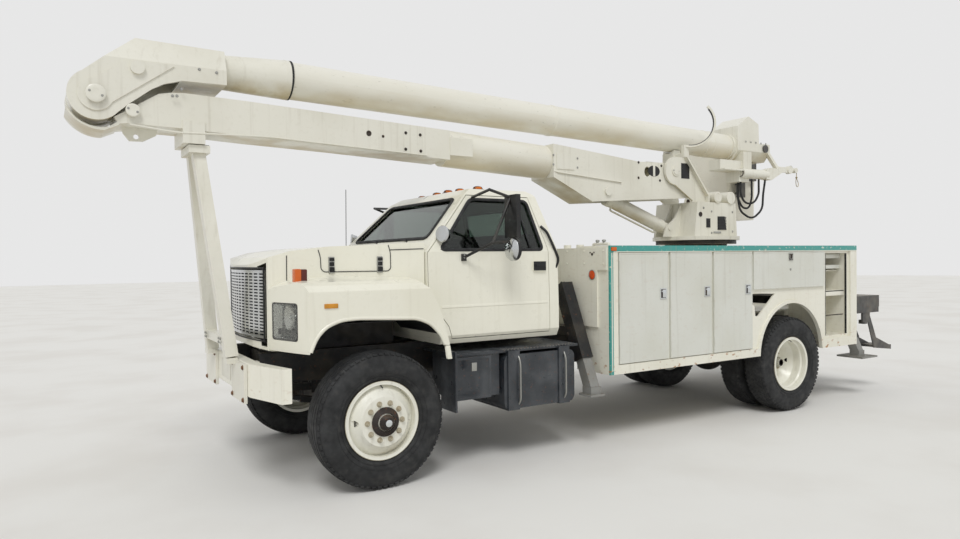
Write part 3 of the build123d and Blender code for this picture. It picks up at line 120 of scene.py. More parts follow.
class Graph:
    """A material's node graph while it is laid out."""

    def __init__(self, name: str) -> None:
        """Starts an empty material with its object coordinates at hand.

        Args:
            name: The finish's name.
        """
        self.material = bpy.data.materials.new(name)
        self.material.use_nodes = True
        self.tree = self.material.node_tree
        self.tree.nodes.clear()
        self.place = self.add("ShaderNodeTexCoord").outputs["Object"]

    def add(self, kind: str, inputs: dict | None = None, **settings: object) -> bpy.types.Node:
        """Adds a node with its settings and links.

        Args:
            kind: Blender's name of the node's type.
            inputs: Socket name or number to a value or to the output that feeds it.
            settings: The node's own properties.

        Returns:
            The new node.
        """
        node = self.tree.nodes.new(kind)
        for key, value in settings.items():
            setattr(node, key, value)
        for key, value in (inputs or {}).items():
            if isinstance(value, bpy.types.NodeSocket):
                self.tree.links.new(value, node.inputs[key])
            else:
                node.inputs[key].default_value = value
        return node

    def patches(self, size_mm: float, start: float, full: float, detail: float = 4.0,
                stretch: Place = (1.0, 1.0, 1.0)) -> bpy.types.NodeSocket:
        """Soft patches of a real size, as a share from 0 to 1.

        Args:
            size_mm: Distance across one patch.
            start: Noise value at which a patch begins.
            full: Noise value at which it is full.
            detail: Octaves of finer noise in it.
            stretch: How much longer a patch is along each axis.

        Returns:
            The share's socket.
        """
        scale = [1000.0 / size_mm / s for s in stretch]
        spot = self.add("ShaderNodeMapping", {"Vector": self.place, "Scale": scale})
        noise = self.add("ShaderNodeTexNoise", {"Vector": spot.outputs[0], "Scale": 1.0, "Detail": detail})
        share = self.add("ShaderNodeMapRange", {"Value": noise.outputs["Fac"], "From Min": start,
                                                "From Max": full},
                         interpolation_type="SMOOTHSTEP")
        return share.outputs[0]

    def times(self, first: object, second: object) -> bpy.types.NodeSocket:
        """Product of two shares.

        Args:
            first: A socket or a number.
            second: A socket or a number.

        Returns:
            The product's socket.
        """
        return self.add("ShaderNodeMath", {0: first, 1: second}, operation="MULTIPLY").outputs[0]

    def facing(self, start: float, full: float) -> bpy.types.NodeSocket:
        """Share that grows as the surface turns up or down.

        Args:
            start: Upward part of the normal where the share is nought.
            full: The same where it is one.

        Returns:
            The share's socket.
        """
        parts = self.add("ShaderNodeSeparateXYZ", {0: self.add("ShaderNodeNewGeometry").outputs["Normal"]})
        share = self.add("ShaderNodeMapRange", {"Value": parts.outputs["Z"], "From Min": start,
                                                "From Max": full})
        return share.outputs[0]

    def over(self, under: object, code: str, share: object) -> bpy.types.NodeSocket:
        """Lays a colour over another.

        Args:
            under: Socket or linear colour below.
            code: Hex colour on top.
            share: How much of it shows.

        Returns:
            The mixed colour's socket.
        """
        node = self.add("ShaderNodeMix", {MIX_SHARE: share, MIX_LOW: under, MIX_HIGH: linear(code)},
                        data_type="RGBA")
        return node.outputs[MIX_COLOUR]

    def bump(self, height: object, depth_mm: float, strength: float = 1.0,
             below: bpy.types.NodeSocket | None = None) -> bpy.types.NodeSocket:
        """Relief of a real depth.

        Args:
            height: The relief's share from 0 to 1.
            depth_mm: Depth at full share.
            strength: How strongly it turns the normal.
            below: Normal of a relief under this one.

        Returns:
            The normal's socket.
        """
        inputs = {"Height": height, "Distance": depth_mm / 1000.0, "Strength": strength}
        if below is not None:
            inputs["Normal"] = below
        return self.add("ShaderNodeBump", inputs).outputs[0]

    def close(self, **sockets: object) -> Mat:
        """Ends the graph in a principled surface.

        Args:
            sockets: Shader sockets, with underscores for spaces.

        Returns:
            The finished material.
        """
        inputs = {key.replace("_", " "): value for key, value in sockets.items()}
        shader = self.add("ShaderNodeBsdfPrincipled", inputs)
        self.add("ShaderNodeOutputMaterial", {"Surface": shader.outputs[0]})
        return self.material


@dataclass(frozen=True)
class Stripe:
    """Band of a second enamel along a top rail and down a corner."""

    colour: str
    rail_z: float
    corner_x: float
    corner_y: float


@dataclass(frozen=True)
class Enamel:
    """Sprayed enamel on sheet steel: a soft gloss with fine orange peel, chalky patches, run-off and rust."""

    name: str
    colour: str
    aged: str
    grime: str
    roughness: float = 0.34
    ageing: float = 0.5
    streaks: float = 0.3
    stain: float = 0.3
    rust: float = 0.0
    rust_top: float = 0.0
    coat: float = 0.3
    stripe: Stripe | None = None

    def build(self) -> Mat:
        """Lays the enamel's graph.

        Returns:
            The material.
        """
        g = Graph(self.name)
        tone = g.over(linear(self.colour), self.aged, g.times(g.patches(650, 0.38, 0.7), self.ageing))
        tone = g.over(tone, self.aged, g.times(g.patches(35, 0.52, 0.75, 6.0), self.ageing * 0.5))
        if self.stripe:
            tone = self.banded(g, tone, self.stripe)
        runs = g.times(g.patches(45, 0.54, 0.78, 3.0, (1.0, 1.0, 22.0)), self.streaks)
        tone = g.over(tone, self.grime, runs)
        under = g.facing(-0.25, -0.9)
        low = g.times(g.times(under, g.patches(320, 0.35, 0.68, 5.0)), self.stain)
        tone = g.over(tone, "#B9A678", low)
        rough = g.add("ShaderNodeMapRange", {"Value": g.patches(180, 0.3, 0.75), "To Min": self.roughness,
                                             "To Max": self.roughness + 0.16}).outputs[0]
        peel = g.bump(g.patches(5, 0.2, 0.8, 2.0), 0.05, 0.25)
        sheet = g.bump(g.patches(420, 0.2, 0.8, 1.0), 1.6, 0.25, peel)
        if self.rust:
            tone = self.rusted(g, tone)
        return g.close(Base_Color=tone, Roughness=rough, IOR=1.5, Coat_Weight=self.coat,
                       Coat_Roughness=0.12,
                       Normal=sheet)

    def banded(self, g: Graph, tone: object, band: Stripe) -> bpy.types.NodeSocket:
        """Adds the second colour along the top rail and down the front corner.

        Args:
            g: The graph.
            tone: Colour so far.
            band: The band's colour and edges.

        Returns:
            The colour with the band.
        """
        spot = g.add("ShaderNodeSeparateXYZ", {0: g.place})
        side = g.add("ShaderNodeMath", {0: spot.outputs["Y"]}, operation="ABSOLUTE").outputs[0]
        outer = g.add("ShaderNodeMath", {0: side, 1: band.corner_y}, operation="GREATER_THAN").outputs[0]
        rail = g.add("ShaderNodeMath", {0: spot.outputs["Z"], 1: band.rail_z},
                     operation="GREATER_THAN").outputs[0]
        post = g.add("ShaderNodeMath", {0: spot.outputs["X"], 1: AXLE + band.corner_x},
                     operation="GREATER_THAN").outputs[0]
        both = g.add("ShaderNodeMath", {0: rail, 1: post}, operation="MAXIMUM").outputs[0]
        worn = g.add("ShaderNodeMath", {0: 1.0, 1: g.times(g.patches(30, 0.6, 0.72, 6.0), 0.7)},
                     operation="SUBTRACT").outputs[0]
        return g.over(tone, band.colour, g.times(g.times(both, outer), worn))

    def rusted(self, g: Graph, tone: object) -> bpy.types.NodeSocket:
        """Adds rust that breaks through, heavier towards the bottom edge.

        Args:
            g: The graph.
            tone: Colour so far.

        Returns:
            The colour with the rust.
        """
        spot = g.add("ShaderNodeSeparateXYZ", {0: g.place})
        low = g.add("ShaderNodeMapRange", {"Value": spot.outputs["Z"], "From Min": self.rust_top,
                                           "From Max": self.rust_top - 0.16}).outputs[0]
        bed = g.add("ShaderNodeMath", {0: low, 1: 0.12}, operation="MAXIMUM").outputs[0]
        blots = g.times(g.times(g.patches(34, 0.58, 0.7, 8.0, (2.2, 2.2, 1.0)), bed), self.rust)
        tone = g.over(tone, "#A9743C", blots)
        return g.over(tone, "#5A2F18", g.times(g.patches(16, 0.6, 0.7, 8.0), blots))


@dataclass(frozen=True)
class Gelcoat:
    """Wound glass fibre under weathered gelcoat: chalky, faintly banded round the tube, dirty below."""

    name: str
    colour: str
    aged: str
    stain: float = 0.5

    def build(self) -> Mat:
        """Lays the gelcoat's graph.

        Returns:
            The material.
        """
        g = Graph(self.name)
        tone = g.over(linear(self.colour), self.aged,
                      g.times(g.patches(500, 0.35, 0.7, 5.0, (3.0, 1.0, 1.0)), 0.6))
        tone = g.over(tone, "#8E8A7C", g.times(g.patches(26, 0.62, 0.78, 7.0, (2.0, 1.0, 1.0)), 0.35))
        under = g.facing(0.1, -0.85)
        low = g.times(g.times(under, g.patches(240, 0.3, 0.66, 6.0, (2.5, 1.0, 1.0))),
                      self.stain)
        tone = g.over(tone, "#C2AE7D", low)
        wind = g.bump(g.patches(14, 0.3, 0.7, 2.0, (1.0, 8.0, 8.0)), 0.25, 0.2)
        return g.close(Base_Color=tone, Roughness=0.42, IOR=1.5, Coat_Weight=0.15, Coat_Roughness=0.25,
                       Normal=wind)


@dataclass(frozen=True)
class BareSteel:
    """Black or grey chassis paint over rolled and cast steel: satin, dusty on top, rusty in spots."""

    name: str
    colour: str
    dust: str
    rust: float
    roughness: float = 0.5
    coat: float = 0.0

    def build(self) -> Mat:
        """Lays the chassis paint's graph.

        Returns:
            The material.
        """
        g = Graph(self.name)
        tone = g.over(linear(self.colour), self.dust, g.times(g.patches(260, 0.4, 0.72, 6.0), 0.45))
        top = g.facing(0.5, 0.95)
        tone = g.over(tone, self.dust, g.times(g.times(top, g.patches(90, 0.3, 0.6)), 0.7))
        tone = g.over(tone, "#7A4A2A", g.times(g.patches(22, 0.6, 0.72, 8.0), self.rust))
        rough = g.add("ShaderNodeMapRange", {"Value": g.patches(70, 0.3, 0.7),
                                             "To Min": self.roughness - 0.08,
                                             "To Max": self.roughness + 0.2}).outputs[0]
        relief = g.bump(g.patches(7, 0.3, 0.7, 3.0), 0.25, 0.35)
        return g.close(Base_Color=tone, Roughness=rough, IOR=1.5, Coat_Weight=self.coat, Coat_Roughness=0.3,
                       Normal=relief)


@dataclass(frozen=True)
class Rubber:
    """Vulcanised rubber: dull carbon black, greyed by dust, finely pebbled."""

    name: str
    colour: str = "#1B1C1D"
    dust: str = "#6A6257"
    dusty: float = 0.35

    def build(self) -> Mat:
        """Lays the rubber's graph.

        Returns:
            The material.
        """
        g = Graph(self.name)
        tone = g.over(linear(self.colour), "#2C2D2E", g.patches(120, 0.35, 0.7, 5.0))
        tone = g.over(tone, self.dust, g.times(g.patches(60, 0.5, 0.8, 7.0), self.dusty))
        rough = g.add("ShaderNodeMapRange", {"Value": g.patches(50, 0.3, 0.7), "To Min": 0.62,
                                             "To Max": 0.85}).outputs[0]
        return g.close(Base_Color=tone, Roughness=rough, IOR=1.52,
                       Normal=g.bump(g.patches(3, 0.3, 0.7), 0.15, 0.4))


@dataclass(frozen=True)
class Plated:
    """Chromium plating: a bright mirror with a little haze and pitting."""

    name: str
    colour: str = "#C9CBCC"
    roughness: float = 0.12

    def build(self) -> Mat:
        """Lays the plating's graph.

        Returns:
            The material.
        """
        g = Graph(self.name)
        tone = g.over(linear(self.colour), "#8A8B8A", g.times(g.patches(12, 0.6, 0.75, 6.0), 0.5))
        rough = g.add("ShaderNodeMapRange", {"Value": g.patches(60, 0.3, 0.7), "To Min": self.roughness,
                                             "To Max": self.roughness + 0.15}).outputs[0]
        return g.close(Base_Color=tone, Metallic=1.0, Roughness=rough)


@dataclass(frozen=True)
class Pane:
    """Tinted safety glass, or a clear or coloured moulded lens: see-through with a hard shine."""

    name: str
    colour: str
    roughness: float = 0.03
    ior: float = 1.52
    flute_mm: float = 0.0

    def build(self) -> Mat:
        """Lays the glass's graph.

        Returns:
            The material.
        """
        g = Graph(self.name)
        tone = g.over(linear(self.colour), "#6E6A60", g.times(g.patches(300, 0.55, 0.8, 6.0), 0.12))
        sockets = {"Base_Color": tone, "Roughness": self.roughness, "IOR": self.ior,
                   "Transmission_Weight": 1.0}
        if self.flute_mm:
            wave = g.add("ShaderNodeTexWave", {"Vector": g.place, "Scale": 314.0 / self.flute_mm / 10.0,
                                               "Distortion": 0.0}, bands_direction="Z")
            sockets["Normal"] = g.bump(wave.outputs["Fac"], 0.8, 0.6)
        return g.close(**sockets)


@dataclass(frozen=True)
class Moulded:
    """Moulded plastic or vinyl with a fine grain."""

    name: str
    colour: str
    grain_mm: float = 2.0
    roughness: float = 0.5

    def build(self) -> Mat:
        """Lays the plastic's graph.

        Returns:
            The material.
        """
        g = Graph(self.name)
        shade = "#%02X%02X%02X" % tuple(int(int(self.colour[i:i + 2], 16) * 0.8) for i in (1, 3, 5))
        tone = g.over(linear(self.colour), shade, g.patches(140, 0.35, 0.7, 5.0))
        return g.close(Base_Color=tone, Roughness=self.roughness, IOR=1.48,
                       Normal=g.bump(g.patches(self.grain_mm, 0.3, 0.7), 0.2, 0.4))


@dataclass(frozen=True)
class Rope:
    """Laid synthetic rope: dull twisted strands, greyed by grease along the lay."""

    name: str
    colour: str = "#B8A883"
    strand_mm: float = 4.0

    def build(self) -> Mat:
        """Lays the rope's graph.

        Returns:
            The material.
        """
        g = Graph(self.name)
        strands = g.add("ShaderNodeTexWave", {"Vector": g.place, "Scale": 314.0 / self.strand_mm / 10.0,
                                              "Distortion": 1.5, "Detail": 2.0}, bands_direction="DIAGONAL")
        tone = g.over(linear(self.colour), "#6F6450", g.times(strands.outputs["Fac"], 0.6))
        tone = g.over(tone, "#4A4238", g.times(g.patches(18, 0.5, 0.75, 5.0), 0.5))
        return g.close(Base_Color=tone, Roughness=0.85, IOR=1.5,
                       Normal=g.bump(strands.outputs["Fac"], 0.9, 0.8))


class Palette:
    """Every finish on the truck, made once."""

    def __init__(self) -> None:
        """Builds the materials."""
        self.cab = Enamel("cab_gloss_enamel", "#ECEADB", "#E2DFCC", "#B9B39C", 0.27, 0.5, 0.12, 0.2,
                          coat=0.5).build()
        self.boom = Enamel("boom_weathered_enamel", "#E6E4D8", "#D8D5C6", "#A49C86", 0.42, 0.7, 0.22,
                           0.75).build()
        self.body = Enamel("body_enamel_rust_edges", "#EBE9DC", "#DDD9C6", "#A8A08A", 0.34, 0.5, 0.2, 0.4,
                           rust=0.95,
                           rust_top=0.86, stripe=Stripe("#3C9A92", 1.812, -2.292, 1.2)).build()
        self.door = Enamel("locker_door_satin_enamel", "#D9DAD2", "#CFCFC3", "#A39F90", 0.4, 0.7, 0.2, 0.3,
                           rust=0.5,
                           rust_top=0.80).build()
        self.bumper = Enamel("bumper_enamel_chipped", "#F0EEE1", "#E2DECB", "#9C9480", 0.33, 0.4, 0.15, 0.3,
                             rust=0.6,
                             rust_top=0.86).build()
        self.wheel = Enamel("wheel_enamel", "#EBEADF", "#DBD8C6", "#9A8F76", 0.36, 0.4, 0.2, 0.3).build()
        self.fibre = Gelcoat("wound_fibre_gelcoat", "#E9E7DC", "#DBD7C6").build()
        self.bucket = Gelcoat("bucket_gelcoat", "#EAE7DA", "#DDD8C8", 0.3).build()
        self.chassis = BareSteel("chassis_black_paint", "#191A1C", "#5A5448", 0.35).build()
        self.tank = BareSteel("tank_black_enamel", "#23282E", "#5E6266", 0.3, 0.34, 0.3).build()
        self.shelf = BareSteel("shelf_worn_grey_paint", "#4A4A49", "#8A8376", 0.4).build()
        self.leg = BareSteel("outrigger_leg_silver_paint", "#8B8B87", "#6B6557", 0.5).build()
        self.cast = BareSteel("cast_iron_rusty", "#2A2320", "#5A4B3A", 0.8, 0.7).build()
        self.rusty = BareSteel("rusty_bare_steel", "#6B4A33", "#8A6A4A", 0.9, 0.7).build()
        self.tyre = Rubber("tyre_rubber", "#191A1B", "#4E4A43", 0.2).build()
        self.seal = Rubber("window_seal_rubber", "#141516", "#3A3936", 0.15).build()
        self.hose = Rubber("hydraulic_hose_rubber", "#17181A", "#4A453C", 0.3).build()
        self.chrome = Plated("chromium_plating").build()
        self.rod = Plated("ground_chrome_rod", "#B9BABA", 0.08).build()
        self.zinc = Plated("zinc_plated_steel", "#A9A9A4", 0.32).build()
        self.glass = Pane("tinted_safety_glass", "#7F8F86").build()
        self.mirror = Plated("silvered_mirror", "#D8DCDD", 0.02).build()
        self.clear = Pane("headlamp_lens", "#E6E6E0", 0.06, 1.49, 9.0).build()
        self.amber = Pane("amber_lens", "#E8780A", 0.12, 1.49, 6.0).build()
        self.red = Pane("red_lens", "#B3121A", 0.12, 1.49, 6.0).build()
        self.reflector = Moulded("orange_reflector", "#DE5218", 3.0, 0.25).build()
        self.vinyl = Moulded("seat_vinyl", "#3A3835", 1.6, 0.55).build()
        self.dash = Moulded("dash_plastic", "#2C2C2E", 1.2, 0.6).build()
        self.trim = Moulded("black_moulded_trim", "#141516", 1.0, 0.42).build()
        self.frame = BareSteel("mirror_frame_black_paint", "#131415", "#4A4740", 0.12, 0.38).build()
        self.rim = BareSteel("rim_edge_weathered", "#A39A80", "#857455", 0.4, 0.6).build()
        self.nuts = BareSteel("wheel_nuts_worn", "#B3AB95", "#8F7757", 0.6, 0.55).build()
        self.hub = BareSteel("hub_end_grey_paint", "#A5A497", "#8A8370", 0.4, 0.5).build()
        self.marker = Moulded("side_marker_amber_lens", "#D8932C", 1.0, 0.2).build()
        self.turn = Moulded("turn_lamp_orange_lens", "#D5651C", 1.0, 0.18).build()
        self.turn_back = Moulded("turn_lamp_rear_lens", "#5B2015", 1.0, 0.22).build()
        self.bowl = Plated("lamp_bowl_vacuum_coated", "#B9BCBD", 0.16).build()
        self.rope = Rope("laid_rope_worn").build()


# Shapes


def rings(loops: list[list[Vector]], closed: bool, caps: bool) -> bmesh.types.BMesh:
    """Skins a row of loops.

    Args:
        loops: Loops with as many points each.
        closed: Whether the last loop joins the first.
        caps: Whether the two ends are filled.

    Returns:
        The mesh.
    """
    shape = bmesh.new()
    rows = [[shape.verts.new(p) for p in loop] for loop in loops]
    pairs = list(zip(rows, rows[1:])) + ([(rows[-1], rows[0])] if closed else [])
    for low, high in pairs:
        for i in range(len(low)):
            j = (i + 1) % len(low)
            shape.faces.new((low[i], low[j], high[j], high[i]))
    if caps:
        shape.faces.new(rows[0][::-1])
        shape.faces.new(rows[-1])
    bmesh.ops.remove_doubles(shape, verts=shape.verts, dist=1e-6)
    bmesh.ops.recalc_face_normals(shape, faces=shape.faces)
    return shape


def soften(shape: bmesh.types.BMesh, width: float, steps: int = 2) -> bmesh.types.BMesh:
    """Rounds a shape's sharp edges.

    Args:
        shape: The mesh.
        width: How far the rounding reaches.
        steps: Facets of it.

    Returns:
        The same mesh.
    """
    if width:
        sharp = [e for e in shape.edges if len(e.link_faces) == 2 and e.calc_face_angle() > 0.5]
        bmesh.ops.bevel(shape, geom=sharp, offset=width, segments=steps, profile=0.6, affect="EDGES",
                        clamp_overlap=True)
    return shape


def pushed(outline: list[Flat], along: Along, start: float, end: float,
           edge: float = 0.0) -> bmesh.types.BMesh:
    """Straight prism over an outline.

    Args:
        outline: Corners in the two axes across the direction.
        along: The direction.
        start: Where it starts, in the shared frame.
        end: Where it ends.
        edge: Rounding of its edges.

    Returns:
        The mesh.
    """
    first, second, third = (Vector(v) for v in along.value)
    loops = [[first * a + second * b + third * c for a, b in outline] for c in (start, end)]
    return soften(rings(loops, False, True), edge)


def block(low: Vector, high: Vector, edge: float) -> bmesh.types.BMesh:
    """Bar or plate between two corners, with rounded edges.

    Args:
        low: One corner.
        high: The other.
        edge: Rounding of its edges.

    Returns:
        The mesh.
    """
    outline = [(low.x, low.y), (high.x, low.y), (high.x, high.y), (low.x, high.y)]
    return pushed(outline, Along.Z, low.z, high.z, edge)


def turned(profile: list[Flat], centre: Vector, axis: Vector, steps: int = 48,
           ring: bool = False) -> bmesh.types.BMesh:
    """Turned shape.

    Args:
        profile: Distance along the axis and radius of each point.
        centre: Point that the distances start from.
        axis: Direction of the axis.
        steps: Facets round it.
        ring: Whether the profile is a closed section round a hole.

    Returns:
        The mesh.
    """
    z = axis.normalized()
    x = z.orthogonal().normalized()
    y = z.cross(x)
    loops = []
    for i in range(steps):
        a = 2 * math.pi * i / steps
        out = x * math.cos(a) + y * math.sin(a)
        loops.append([centre + z * d + out * r for d, r in profile])
    shape = bmesh.new()
    rows = [[shape.verts.new(p) for p in loop] for loop in loops]
    count = len(profile)
    for i in range(steps):
        low, high = rows[i], rows[(i + 1) % steps]
        for k in range(count if ring else count - 1):
            n = (k + 1) % count
            shape.faces.new((low[k], low[n], high[n], high[k]))
    bmesh.ops.remove_doubles(shape, verts=shape.verts, dist=1e-6)
    bmesh.ops.dissolve_degenerate(shape, dist=1e-7, edges=shape.edges)
    bmesh.ops.recalc_face_normals(shape, faces=shape.faces)
    return shape


def rounded(path: list[Vector], bend: float, steps: int = 6) -> list[Vector]:
    """Path with its corners rounded.

    Args:
        path: Corner points.
        bend: How far from a corner the rounding starts.
        steps: Points on each rounding.

    Returns:
        The points of the rounded path.
    """
    line = [path[0]]
    for before, corner, after in zip(path, path[1:], path[2:]):
        reach = min(bend, (corner - before).length * 0.49, (after - corner).length * 0.49)
        start = corner + (before - corner).normalized() * reach
        end = corner + (after - corner).normalized() * reach
        for k in range(steps + 1):
            t = k / steps
            line.append(start.lerp(corner, t).lerp(corner.lerp(end, t), t))
    return line + [path[-1]]


def piped(path: list[Vector], radius: float, bend: float = 0.03, sides: int = 12) -> bmesh.types.BMesh:
    """Round bar or tube bent along a path.

    Args:
        path: Corner points.
        radius: The bar's radius.
        bend: Rounding at the corners.
        sides: Facets round it.

    Returns:
        The mesh.
    """
    line = rounded(path, bend) if len(path) > 2 else path
    side = (line[1] - line[0]).orthogonal().normalized()
    loops = []
    for i, point in enumerate(line):
        ahead = line[min(i + 1, len(line) - 1)] - line[max(i - 1, 0)]
        ahead.normalize()
        side = (side - ahead * side.dot(ahead)).normalized()
        across = ahead.cross(side)
        loops.append([point + (side * math.cos(a) + across * math.sin(a)) * radius
                      for a in (2 * math.pi * k / sides for k in range(sides))])
    return rings(loops, False, True)


HEAD_SPIN = 0.6  # largest chance turn of a bolt's head, in radians


class Piece:
    """One mesh that rides on one body, gathered from made shapes with their finishes."""

    def __init__(self, name: str, body: str, slot: str = "") -> None:
        """Starts an empty piece.

        Args:
            name: The piece's name.
            body: The body that it rides on.
            slot: The record's slot for its finish; kept on the piece but not used.
        """
        self.name = name
        self.body = body
        self.slot = slot
        self.shape = bmesh.new()
        self.finishes: list[Mat] = []

    def take(self, shape: bmesh.types.BMesh, finish: Mat) -> "Piece":
        """Adds a shape in a finish.

        Args:
            shape: The mesh, which is used up.
            finish: Its material.

        Returns:
            The piece itself.
        """
        if finish not in self.finishes:
            self.finishes.append(finish)
        index = self.finishes.index(finish)
        for face in shape.faces:
            face.material_index = index
        scratch = bpy.data.meshes.new("scratch")
        shape.to_mesh(scratch)
        shape.free()
        self.shape.from_mesh(scratch)
        bpy.data.meshes.remove(scratch)
        return self

    def both(self, shape: bmesh.types.BMesh, finish: Mat) -> "Piece":
        """Adds a shape and its mirror image across the truck.

        Args:
            shape: The mesh on the driver's side.
            finish: Its material.

        Returns:
            The piece itself.
        """
        twin = shape.copy()
        bmesh.ops.scale(twin, vec=(1, -1, 1), verts=twin.verts)
        bmesh.ops.reverse_faces(twin, faces=twin.faces)
        return self.take(shape, finish).take(twin, finish)

    def bolts(self, kit: "Repeater", spots: "list[Spot]", finish: Mat, radius: float,
              height: float) -> None:
        """Adds a hexagon head at every spot, each turned a little by chance.

        Args:
            kit: Sets the repeated items.
            spots: Where the heads go.
            finish: Their material.
            radius: To a corner of a head.
            height: Over all.
        """
        self.take(kit.make(hex_head(radius, height), spots, finish, HEAD_SPIN), finish)

    def done(self, angle: float = 32.0) -> Obj:
        """Makes the object and lets it ride.

        Args:
            angle: Edges sharper than this stay sharp, in degrees.

        Returns:
            The object.
        """
        mesh = bpy.data.meshes.new(self.name)
        self.shape.to_mesh(mesh)
        self.shape.free()
        for finish in self.finishes:
            mesh.materials.append(finish)
        mesh.shade_smooth()
        mesh.set_sharp_from_angle(angle=math.radians(angle))
        obj = bpy.data.objects.new(self.name, mesh)
        bpy.context.scene.collection.objects.link(obj)
        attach(obj, self.body)
        LOG.info("piece %s on %s, %d faces", self.name, self.body, len(mesh.polygons))
        return obj


# Repeats


@dataclass(frozen=True)
class Spot:
    """Place of one repeated item, with the directions of its top and of its front."""

    place: Vector
    up: Vector
    ahead: Vector | None = None

    def turn(self) -> tuple[float, float, float]:
        """Euler angles that turn an item's Z to the top and its X to the front."""
        up = self.up.normalized()
        ahead = self.ahead or up.orthogonal()
        ahead = (ahead - up * ahead.dot(up)).normalized()
        side = up.cross(ahead)
        return tuple(Matrix((ahead, side, up)).transposed().to_euler())


class Repeater:
    """Geometry node tree that sets an item at every point of a carrier, turned by the point's own angles."""

    def __init__(self, name: str) -> None:
        """Lays the tree.

        Args:
            name: The tree's name.
        """
        self.tree = bpy.data.node_groups.new(name, "GeometryNodeTree")
        self.socket("Places", "INPUT", "NodeSocketGeometry")
        self.item = self.socket("Item", "INPUT", "NodeSocketObject")
        self.finish = self.socket("Finish", "INPUT", "NodeSocketMaterial")
        self.spin = self.socket("Spin", "INPUT", "NodeSocketFloat")
        self.seed = self.socket("Seed", "INPUT", "NodeSocketInt")
        self.socket("Mesh", "OUTPUT", "NodeSocketGeometry")
        start = self.node("NodeGroupInput", {})
        points = self.node("GeometryNodeMeshToPoints", {"Mesh": start.outputs["Places"]})
        shape = self.node("GeometryNodeObjectInfo", {"Object": start.outputs["Item"]})
        angles = self.node("GeometryNodeInputNamedAttribute", {"Name": "turn"}, data_type="FLOAT_VECTOR")
        base = self.node("FunctionNodeEulerToRotation", {0: angles.outputs[0]})
        chance = self.node("FunctionNodeRandomValue", {3: start.outputs["Spin"], 8: start.outputs["Seed"]},
                           data_type="FLOAT")
        twist = self.node("ShaderNodeCombineXYZ", {"Z": chance.outputs[1]})
        local = self.node("FunctionNodeEulerToRotation", {0: twist.outputs[0]})
        whole = self.node("FunctionNodeRotateRotation", {0: base.outputs[0], 1: local.outputs[0]},
                          rotation_space="LOCAL")
        copies = self.node("GeometryNodeInstanceOnPoints", {
            "Points": points.outputs[0], "Instance": shape.outputs["Geometry"],
            "Rotation": whole.outputs[0]})
        real = self.node("GeometryNodeRealizeInstances", {0: copies.outputs[0]})
        painted = self.node("GeometryNodeSetMaterial", {"Geometry": real.outputs[0],
                                                        "Material": start.outputs["Finish"]})
        self.node("NodeGroupOutput", {0: painted.outputs[0]})

    def socket(self, name: str, way: str, kind: str) -> str:
        """Adds a socket to the tree and gives its identifier."""
        return self.tree.interface.new_socket(name=name, in_out=way, socket_type=kind).identifier

    def node(self, kind: str, inputs: dict, **settings: object) -> bpy.types.Node:
        """Adds a node with its settings and links.

        Args:
            kind: Blender's name of the node's type.
            inputs: Socket name or number to a value or to the output that feeds it.
            settings: The node's own properties.

        Returns:
            The new node.
        """
        node = self.tree.nodes.new(kind)
        for key, value in settings.items():
            setattr(node, key, value)
        for key, value in inputs.items():
            if isinstance(value, bpy.types.NodeSocket):
                self.tree.links.new(value, node.inputs[key])
            else:
                node.inputs[key].default_value = value
        return node

    def make(self, item: bmesh.types.BMesh, spots: list[Spot], finish: Mat, spin: float = 0.0,
             seed: int = 7) -> bmesh.types.BMesh:
        """Sets an item at every spot.

        Args:
            item: One item about the origin, its top along Z.
            spots: Where the items go.
            finish: The items' material.
            spin: Largest random turn about each item's own top.
            seed: Seed of the random turns.

        Returns:
            One mesh of all items.
        """
        pattern = self.holder("pattern")
        item.to_mesh(pattern.data)
        item.free()
        carrier = self.holder("carrier")
        carrier.data.from_pydata([s.place for s in spots], [], [])
        turns = carrier.data.attributes.new("turn", "FLOAT_VECTOR", "POINT")
        for entry, spot in zip(turns.data, spots):
            entry.vector = spot.turn()
        modifier = carrier.modifiers.new("repeat", "NODES")
        modifier.node_group = self.tree
        for key, value in ((self.item, pattern), (self.finish, finish), (self.spin, spin),
                           (self.seed, seed)):
            modifier[key] = value
        whole = bpy.data.meshes.new_from_object(carrier.evaluated_get(bpy.context.evaluated_depsgraph_get()))
        carrier.modifiers.remove(modifier)
        for obj in (carrier, pattern):
            mesh = obj.data
            bpy.data.objects.remove(obj)
            bpy.data.meshes.remove(mesh)
        shape = bmesh.new()
        shape.from_mesh(whole)
        bpy.data.meshes.remove(whole)
        return shape

    def holder(self, name: str) -> Obj:
        """An empty mesh object in the scene."""
        obj = bpy.data.objects.new(name, bpy.data.meshes.new(name))
        bpy.context.scene.collection.objects.link(obj)
        return obj


def hex_head(radius: float, height: float) -> bmesh.types.BMesh:
    """Hexagon bolt head or nut about the origin, with its washer and a chamfer.

    Args:
        radius: To a corner.
        height: Over all.

    Returns:
        The mesh.
    """
    head = turned([(0, 0), (0, radius), (height * 0.8, radius), (height, radius * 0.8), (height, 0)],
                  Vector((0, 0, 0)), Vector((0, 0, 1)), 6)
    washer = turned([(0, 0), (0, radius * 1.35), (height * 0.2, radius * 1.35), (height * 0.2, 0)],
                    Vector((0, 0, 0)), Vector((0, 0, 1)), 14)
    return joined(head, washer)


def joined(*shapes: bmesh.types.BMesh) -> bmesh.types.BMesh:
    """Puts shapes in one mesh.

    Args:
        shapes: The meshes, which are used up.

    Returns:
        One mesh.
    """
    whole = bmesh.new()
    scratch = bpy.data.meshes.new("scratch")
    for shape in shapes:
        shape.to_mesh(scratch)
        shape.free()
        whole.from_mesh(scratch)
    bpy.data.meshes.remove(scratch)
    return whole


